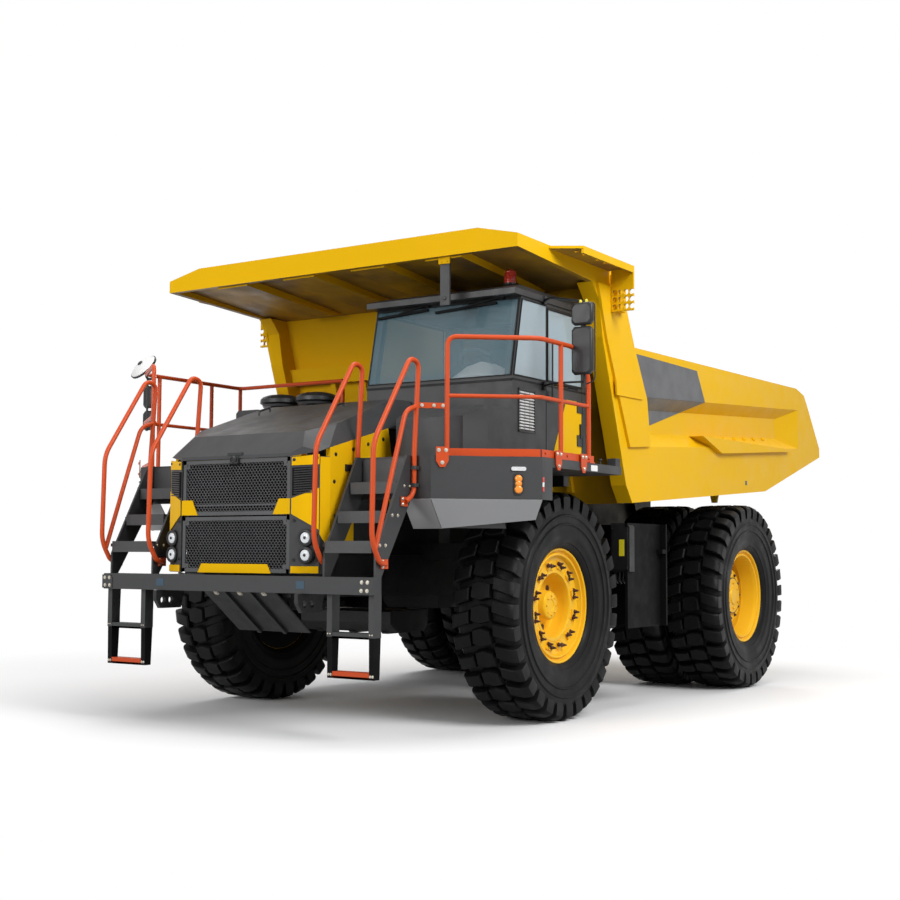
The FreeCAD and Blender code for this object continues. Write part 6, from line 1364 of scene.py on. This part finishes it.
def running_gear():
    dress("stairs", CHARCOAL)
    for node in ("chassis_frame", "rear_axle", "knuckle_left", "knuckle_right", "deck_supports",
                 "strut_towers", "mudflaps", "side_tanks", "hoist_barrels", "hoist_sleeves", "hoist_rods",
                 "stairs"):
        rounded(nodes[node], 0.006, True)
    guard = Build()
    tray = [(0.16, 1.02), (0.16, 0.87), (0.24, 0.81), (0.68, 0.81), (0.80, 0.90), (0.80, 1.02)]
    guard.prism("xz", tray, -0.55, 0.55)
    for y in (-0.40, 0.0, 0.40):
        guard.prism("xz", [(0.22, 0.815), (0.70, 0.815), (0.68, 0.795), (0.26, 0.795)], y - 0.03, y + 0.03)
    guard.piece("front_sump_guard", [BLACK], 0.008)
    boxes = Build()
    boxes.prism("yz", [(1.885, 1.40), (2.10, 1.40), (2.10, 1.86), (2.06, 1.90), (1.885, 1.90)], -1.36, -1.245)
    boxes.box((-1.245, 1.90, 1.42), (-1.236, 2.085, 1.86))
    boxes.box((-1.236, 1.985, 1.560), (-1.232, 2.045, 1.730), 1)
    boxes.bolts([at(-1.236, y, z) for z in (1.44, 1.84) for y in (1.91, 2.075)], AHEAD, 0.009, 0.008, 2)
    for i in range(4):
        y = 1.92 + 0.045 * i
        boxes.tube([at(-1.30, y, 1.42), at(-1.28, y, 1.33 - 0.012 * i), at(-1.40, y - 0.02, 1.27),
                    at(-1.55, 1.70, 1.40)], 0.012, 0.06, 8, slot=2)
    boxes.both().piece("hydraulic_service_boxes", [BLACK, PLATE, PLASTIC], 0.003)


running_gear()

# ------------------------------------------------- camera, lamps and the floor

WHITE = (1, 1, 1, 1)


def photo_camera():
    """Camera at the photograph's own place and angle."""
    yaw, pitch, roll = math.radians(33.195), math.radians(4.246), math.radians(0.265)
    ahead = Vector((-math.cos(yaw) * math.cos(pitch), -math.sin(yaw) * math.cos(pitch), math.sin(pitch)))
    right = Vector((-math.sin(yaw), math.cos(yaw), 0))
    up = right.cross(ahead)
    right, up = (right * math.cos(roll) + up * math.sin(roll), up * math.cos(roll) - right * math.sin(roll))
    data = bpy.data.cameras.new("photo_camera")
    data.lens = 55.15
    data.sensor_width = 36.0
    data.clip_end = 500
    camera = placed("photo_camera", data)
    turn = Matrix((right, up, -ahead)).transposed().to_4x4()
    camera.matrix_world = Matrix.Translation((11.655 + AXLE.x, 8.329, 1.590)) @ turn
    bpy.context.scene.camera = camera


def area_lamp(name, place, aim, size, watts):
    data = bpy.data.lights.new(name, "AREA")
    data.shape = "DISK"
    data.size = size
    data.energy = watts
    lamp = placed(name, data)
    lamp.location = place
    lamp.rotation_euler = (Vector(aim) - Vector(place)).to_track_quat("-Z", "Y").to_euler()


def studio():
    area_lamp("key", (6, 14, 12), (0, 0, 1.5), 9, 2400)
    area_lamp("front_fill", (18, -3, 7), (1, 0, 1.5), 8, 1250)
    area_lamp("top", (-2, 0, 15), (-1, 0, 0), 14, 1500)
    area_lamp("back", (-16, -9, 9), (-2, 0, 1.5), 9, 900)
    world = bpy.data.worlds.new("studio")
    bpy.context.scene.world = world
    world.use_nodes = True
    tree = world.node_tree
    tree.nodes.clear()
    soft = made(tree, "Background", {"Color": (0.84, 0.84, 0.86, 1), "Strength": 0.42})
    white = made(tree, "Background", {"Color": WHITE})
    both = made(tree, "MixShader", {"Fac": seen(tree), 1: soft.outputs[0], 2: white.outputs[0]})
    made(tree, "OutputWorld", {"Surface": both.outputs[0]})


def seen(tree):
    """1 for what the camera sees, straight or in gloss and glass."""
    path = made(tree, "LightPath").outputs
    total = path["Is Camera Ray"]
    for ray in ("Is Glossy Ray", "Is Transmission Ray"):
        total = made(tree, "Math", {0: total, 1: path[ray]}, operation="MAXIMUM").outputs[0]
    return total


def floor():
    """Pale floor that keeps the truck's shadow and fades to white away from it."""
    material, tree, shader = node_tree("pale_floor")
    feed(tree, shader, {
        "Base Color": mixed(tree, seen(tree), (0.36, 0.36, 0.36), (0.86, 0.86, 0.86)),
        "Roughness": patches(tree, 2.0, 3.0, 0.75, 0.85), "Specular IOR Level": 0.2})
    glow = made(tree, "Emission", {"Color": WHITE})
    distance = made(tree, "VectorMath", {0: here(tree)}, operation="LENGTH").outputs["Value"]
    far = spread(tree, distance, 0.0, 1.0, 4.6, 9.0)
    share = times(tree, far, seen(tree))
    both = made(tree, "MixShader", {"Fac": share, 1: shader.outputs[0], 2: glow.outputs[0]})
    output = next(node for node in tree.nodes if node.type == "OUTPUT_MATERIAL")
    feed(tree, output, {"Surface": both.outputs[0]})
    mesh = bpy.data.meshes.new("floor")
    mesh.from_pydata([(-60, -60, 0), (60, -60, 0), (60, 60, 0), (-60, 60, 0)], [], [(0, 1, 2, 3)])
    mesh.materials.append(material)
    placed("floor", mesh)


photo_camera()
studio()
floor()
bpy.context.scene.view_settings.view_transform = "Standard"
